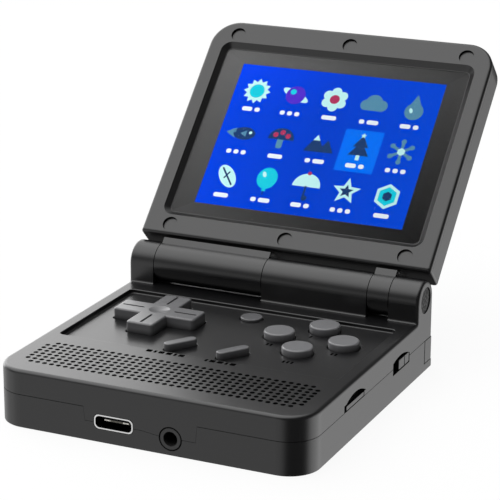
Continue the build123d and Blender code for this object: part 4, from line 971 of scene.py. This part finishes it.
def cloud(x, y):
    return {
        "grey": [
            disc(20, 1.7, (x - 2.3, y - 0.6)),
            disc(20, 2.4, (x - 0.2, y + 0.5), layer=1),
            disc(20, 1.8, (x + 2.2, y - 0.5), layer=2),
            slab(5.0, 1.7, (x, y - 1.45), layer=3),
        ]
    }


def drop(x, y):
    return {
        "grey": [disc(24, 2.7, (x, y - 1.1)), disc(3, 2.72, (x, y + 0.95), (1, 1.25), layer=1)],
        "pale": [disc(12, 0.7, (x - 0.9, y - 0.9), (0.7, 1.2), -20, layer=2)],
    }


def fish(x, y):
    return {
        "slate": [disc(28, 3.3, (x + 0.6, y), (1, 0.62))],
        "grey": [disc(3, 1.9, (x - 3.0, y), turn=-90), disc(3, 1.2, (x + 0.6, y), turn=-90, layer=1)],
        "pale": [disc(12, 0.5, (x + 2.4, y + 0.4), layer=1)],
    }


def mushroom(x, y):
    spots = ((-1.8, 0.8), (0.1, 1.7), (1.9, 0.7))
    return {
        "grey": [slab(1.8, 3.4, (x, y - 1.7), 0.5)],
        "slate": [disc(32, 3.9, (x, y - 0.6), (1, 0.95), half=True, layer=1)],
        "red": [disc(12, 0.8, (x + right, y + up), layer=2) for right, up in spots],
    }


def peaks(x, y):
    return {
        "slate": [disc(3, 3.6, (x - 1.2, y - 1.3)), disc(3, 2.7, (x + 2.2, y - 1.7), layer=1)],
        "pale": [disc(3, 1.2, (x - 1.2, y + 1.1), layer=2)],
    }


def fir(x, y):
    low = disc(3, 3.3, (x, y - 1.2), (1.05, 0.9))
    high = disc(3, 2.6, (x, y + 1.2), (1, 0.95), layer=1)
    trunk = slab(1.1, 1.6, (x, y - 3.4), 0.2, layer=1)
    tip = disc(10, 0.9, (x, y + 3.6), pull=0.45, layer=2)
    return {"slate": [low, high], "pale": [trunk, tip]}


def snowflake(x, y):
    arms = [slab(0.9, 8.0, (x, y), 0.4, turn, index) for index, turn in enumerate((0, 60, 120))]
    tips = petals(6, 0.75, 3.2, (x, y), layer=3)
    return {"grey": [*arms, *tips], "pale": [disc(6, 1.2, (x, y), layer=4)]}


def leaf(x, y):
    blade = disc(32, 4.0, (x, y), (0.56, 1.0), -38)
    rib = slab(0.5, 6.6, (x, y), 0.2, -38, layer=1)
    vein = slab(0.45, 2.6, (x - 0.2, y + 0.4), 0.2, 30, layer=2)
    return {"pale": [blade], "slate": [rib, vein]}


def balloon(x, y):
    return {
        "aqua": [disc(28, 3.0, (x, y + 0.9), (1, 1.12)), disc(3, 0.9, (x, y - 2.7), layer=1)],
        "pale": [disc(12, 0.8, (x - 1.1, y + 2.0), (0.7, 1.2), -25, layer=2)],
        "slate": [slab(0.3, 1.4, (x, y - 3.7))],
    }


def umbrella(x, y):
    canopy = disc(36, 4.1, (x, y - 0.2), half=True)
    stick = slab(0.55, 4.0, (x, y - 1.9), 0.2, layer=1)
    handle = disc(12, 0.85, (x + 0.5, y - 3.7), layer=2)
    return {"pale": [canopy], "slate": [stick, handle], "red": [disc(10, 0.6, (x, y + 4.0), layer=1)]}


def star(x, y):
    return {
        "pale": [disc(10, 4.2, (x, y), pull=0.45)],
        "slate": [disc(10, 2.1, (x, y), pull=0.45, layer=1)],
    }


def gem(x, y):
    return {
        "pale": [disc(6, 3.9, (x, y), (0.95, 1))],
        "aqua": [disc(6, 2.9, (x, y), (0.95, 1), layer=1)],
        "slate": [disc(6, 1.5, (x, y), (0.95, 1), layer=2)],
    }


MOTIFS = [
    sun, planet, flower, cloud, drop,
    fish, mushroom, peaks, fir, snowflake,
    leaf, balloon, umbrella, star, gem,
]  # fmt: skip


# ---------------------------------------------------------------- printed pieces
def printed_piece(name, plates, finish, place, body):
    """Joins flat plates into one thin piece, and lays it on the screen or the base."""
    deselect()
    for plate in plates:
        plate.select_set(True)
    piece = plates[0]
    bpy.context.view_layer.objects.active = piece
    if len(plates) > 1:
        bpy.ops.object.join()
    piece.name = name
    piece.data.name = name
    sheet = piece.modifiers.new("thickness", "SOLIDIFY")
    sheet.thickness = PLATE_THICKNESS * MM
    sheet.offset = -1.0
    bpy.ops.object.modifier_apply(modifier="thickness")
    piece.matrix_world = place
    bpy.ops.object.transform_apply(location=True, rotation=True, scale=True)
    piece.data.materials.clear()
    piece.data.materials.append(finish)
    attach(piece, body)


def on_screen():
    """Where the screen's middle lies, and how it is turned."""
    turn = Matrix((Vector(X_AXIS), ALONG_LID, OFF_SCREEN)).transposed().to_4x4()
    return Matrix.Translation(HINGE + SCREEN_MIDDLE * MM * ALONG_LID) @ turn


def make_picture():
    """Fifteen motifs in five columns with bars under them, one of them on a paler tile."""
    tones = {name: [] for name in PICTURE_TONES}
    places = [(column, row) for row in PICTURE_ROWS for column in PICTURE_COLUMNS]
    for index, (x, y) in enumerate(places):
        for tone, plates in MOTIFS[index](x, y).items():
            tones[tone] += plates
        widths = CAPTION_WIDTHS[index % len(CAPTION_WIDTHS)]
        low = y - CAPTION_DROP
        tones["white"] += row_of_bars(x, low, widths, CAPTION_HEIGHT, CAPTION_GAP, CAPTION_ROUNDING)
    chosen = (PICTURE_COLUMNS[3], PICTURE_ROWS[1] - TILE_DROP)
    tones["tile"].append(slab(TILE_WIDTH, TILE_HEIGHT, chosen, layer=-1))
    for tone, plates in tones.items():
        finish = finish_motif("picture_" + tone, PICTURE_TONES[tone])
        printed_piece("screen_" + tone, plates, finish, on_screen(), "lid")


def make_panel_marks():
    """A row of bars in front of each slanted button, and a few strokes beside each round one."""
    bars = []
    for x, y, widths in PILL_MARKS:
        bars += row_of_bars(x, y, widths, DASH_HEIGHT, DASH_GAP, DASH_ROUNDING)
    strokes = []
    stroke_gap = STROKE_PITCH - STROKE_WIDTH
    for x, y, count in BUTTON_MARKS:
        strokes += row_of_bars(x, y, [STROKE_WIDTH] * count, DASH_HEIGHT, stroke_gap, STROKE_ROUNDING)
    ink = finish_ink()
    marks = (("pill_marks", bars, BASE_TOP), ("button_marks", strokes, PANEL_FLOOR))
    for name, plates, level in marks:
        place = Matrix.Translation((0, 0, (level + MARK_LIFT - PICTURE_REST) * MM))
        printed_piece(name, plates, ink, place, "base")


def make_border():
    """The border's print, from the picture's edges at the back of the lens out to its front rim."""
    deselect()
    back = PICTURE_REST * MM
    front = (LENS_FRONT + BORDER_RIM_LIFT) * MM
    bpy.ops.mesh.primitive_plane_add(size=1.0, location=(0, 0, 0))
    plate = bpy.context.object
    bpy.ops.object.mode_set(mode="EDIT")
    bpy.ops.mesh.select_all(action="SELECT")
    window = (SCREEN_WIDTH * MM, SCREEN_HEIGHT * MM, 1)
    bpy.ops.transform.resize(value=window, center_override=(0, 0, 0))
    bpy.ops.transform.translate(value=(0, 0, back))
    bpy.ops.mesh.delete(type="ONLY_FACE")
    bpy.ops.mesh.select_all(action="SELECT")
    bpy.ops.mesh.extrude_edges_move()
    wide = (LENS_HALF_WIDTH + BORDER_OVERLAP) / (SCREEN_WIDTH / 2)
    high = (LENS_HALF_HEIGHT + BORDER_OVERLAP) / (SCREEN_HEIGHT / 2)
    bpy.ops.transform.resize(value=(wide, high, 1), center_override=(0, 0, back))
    bpy.ops.transform.translate(value=(0, 0, front - back))
    bpy.ops.mesh.bevel(offset=BORDER_CORNER * MM, segments=BORDER_CORNER_STEPS, affect="VERTICES")
    bpy.ops.mesh.select_all(action="SELECT")
    bpy.ops.mesh.normals_make_consistent(inside=False)
    bpy.ops.object.mode_set(mode="OBJECT")
    if plate.data.polygons[0].normal.z < 0:
        bpy.ops.object.mode_set(mode="EDIT")
        bpy.ops.mesh.flip_normals()
        bpy.ops.object.mode_set(mode="OBJECT")
    printed_piece("lens_border_print", [plate], finish_border(), on_screen(), "lid")


# ---------------------------------------------------------------- the console
place_camera()
light_room()
lay_floor()
moulded_skin = make_moulded_skin()
box_mask = make_box_mask()
stripes = make_stripes()
screen_place = make_screen_place()
pixels = make_pixels()

inner_skin = {"grain_mm": 0.3, "grain_depth": 0.2}
rubbery_skin = {"grain_mm": 0.18, "grain_depth": 0.14}
finish_of_slot = {
    "case_plastic": plain_finish("case_plastic", CASE_BLACK, CASE_SHEEN, IOR=CASE_IOR),
    "button_plastic": finish_keys("button_plastic", BUTTON_GREY),
    "knob_plastic": plain_finish("knob_plastic", CASE_BLACK, CASE_SHEEN, IOR=CASE_IOR),
    "cap_plastic": finish_cap(),
    "cap_rubber": plain_finish("cap_rubber", CASE_BLACK, CASE_SHEEN, rubbery_skin, IOR=CASE_IOR),
    "lens_glass": finish_lens(),
    "screen_panel": finish_display(),
    "inner_metal": finish_metal("inner_metal", (0.62, 0.62, 0.6), 0.4, brushed=(1.0, 0.15, 1.0)),
    "socket_metal": finish_socket_shell(),
    "steel": finish_metal("steel", (0.55, 0.55, 0.56), 0.35),
    "inner_plastic": plain_finish("inner_plastic", (0.012, 0.012, 0.012), 0.5, inner_skin),
    "jack_plastic": finish_jack(),
    "speaker_plastic": finish_speaker(),
    "circuit_board": finish_board(),
    "battery_wrap": finish_wrap(),
    "key_rubber": finish_rubber(),
    "foam": finish_foam(),
    "ribbon_film": finish_ribbon(),
    "card_plastic": finish_card(),
}
shell_plastic = finish_shell()
pad_plastic = finish_keys("pad_plastic", PAD_GREY)
finish_of_node = {
    "base_upper_shell": shell_plastic,
    "base_lower_shell": shell_plastic,
    "usb_socket_tongue": finish_tongue(),
    "d_pad": pad_plastic,
    "pill_button_left": pad_plastic,
    "pill_button_right": pad_plastic,
}
slot_of_node = {part["node"]: part["material_slot"] for part in frame["record"]["subparts"]}
for name, node in frame["nodes"].items():
    node.data.materials.clear()
    node.data.materials.append(finish_of_node.get(name) or finish_of_slot[slot_of_node[name]])

make_border()
make_picture()
make_panel_marks()

bpy.context.scene.view_settings.view_transform = "Standard"
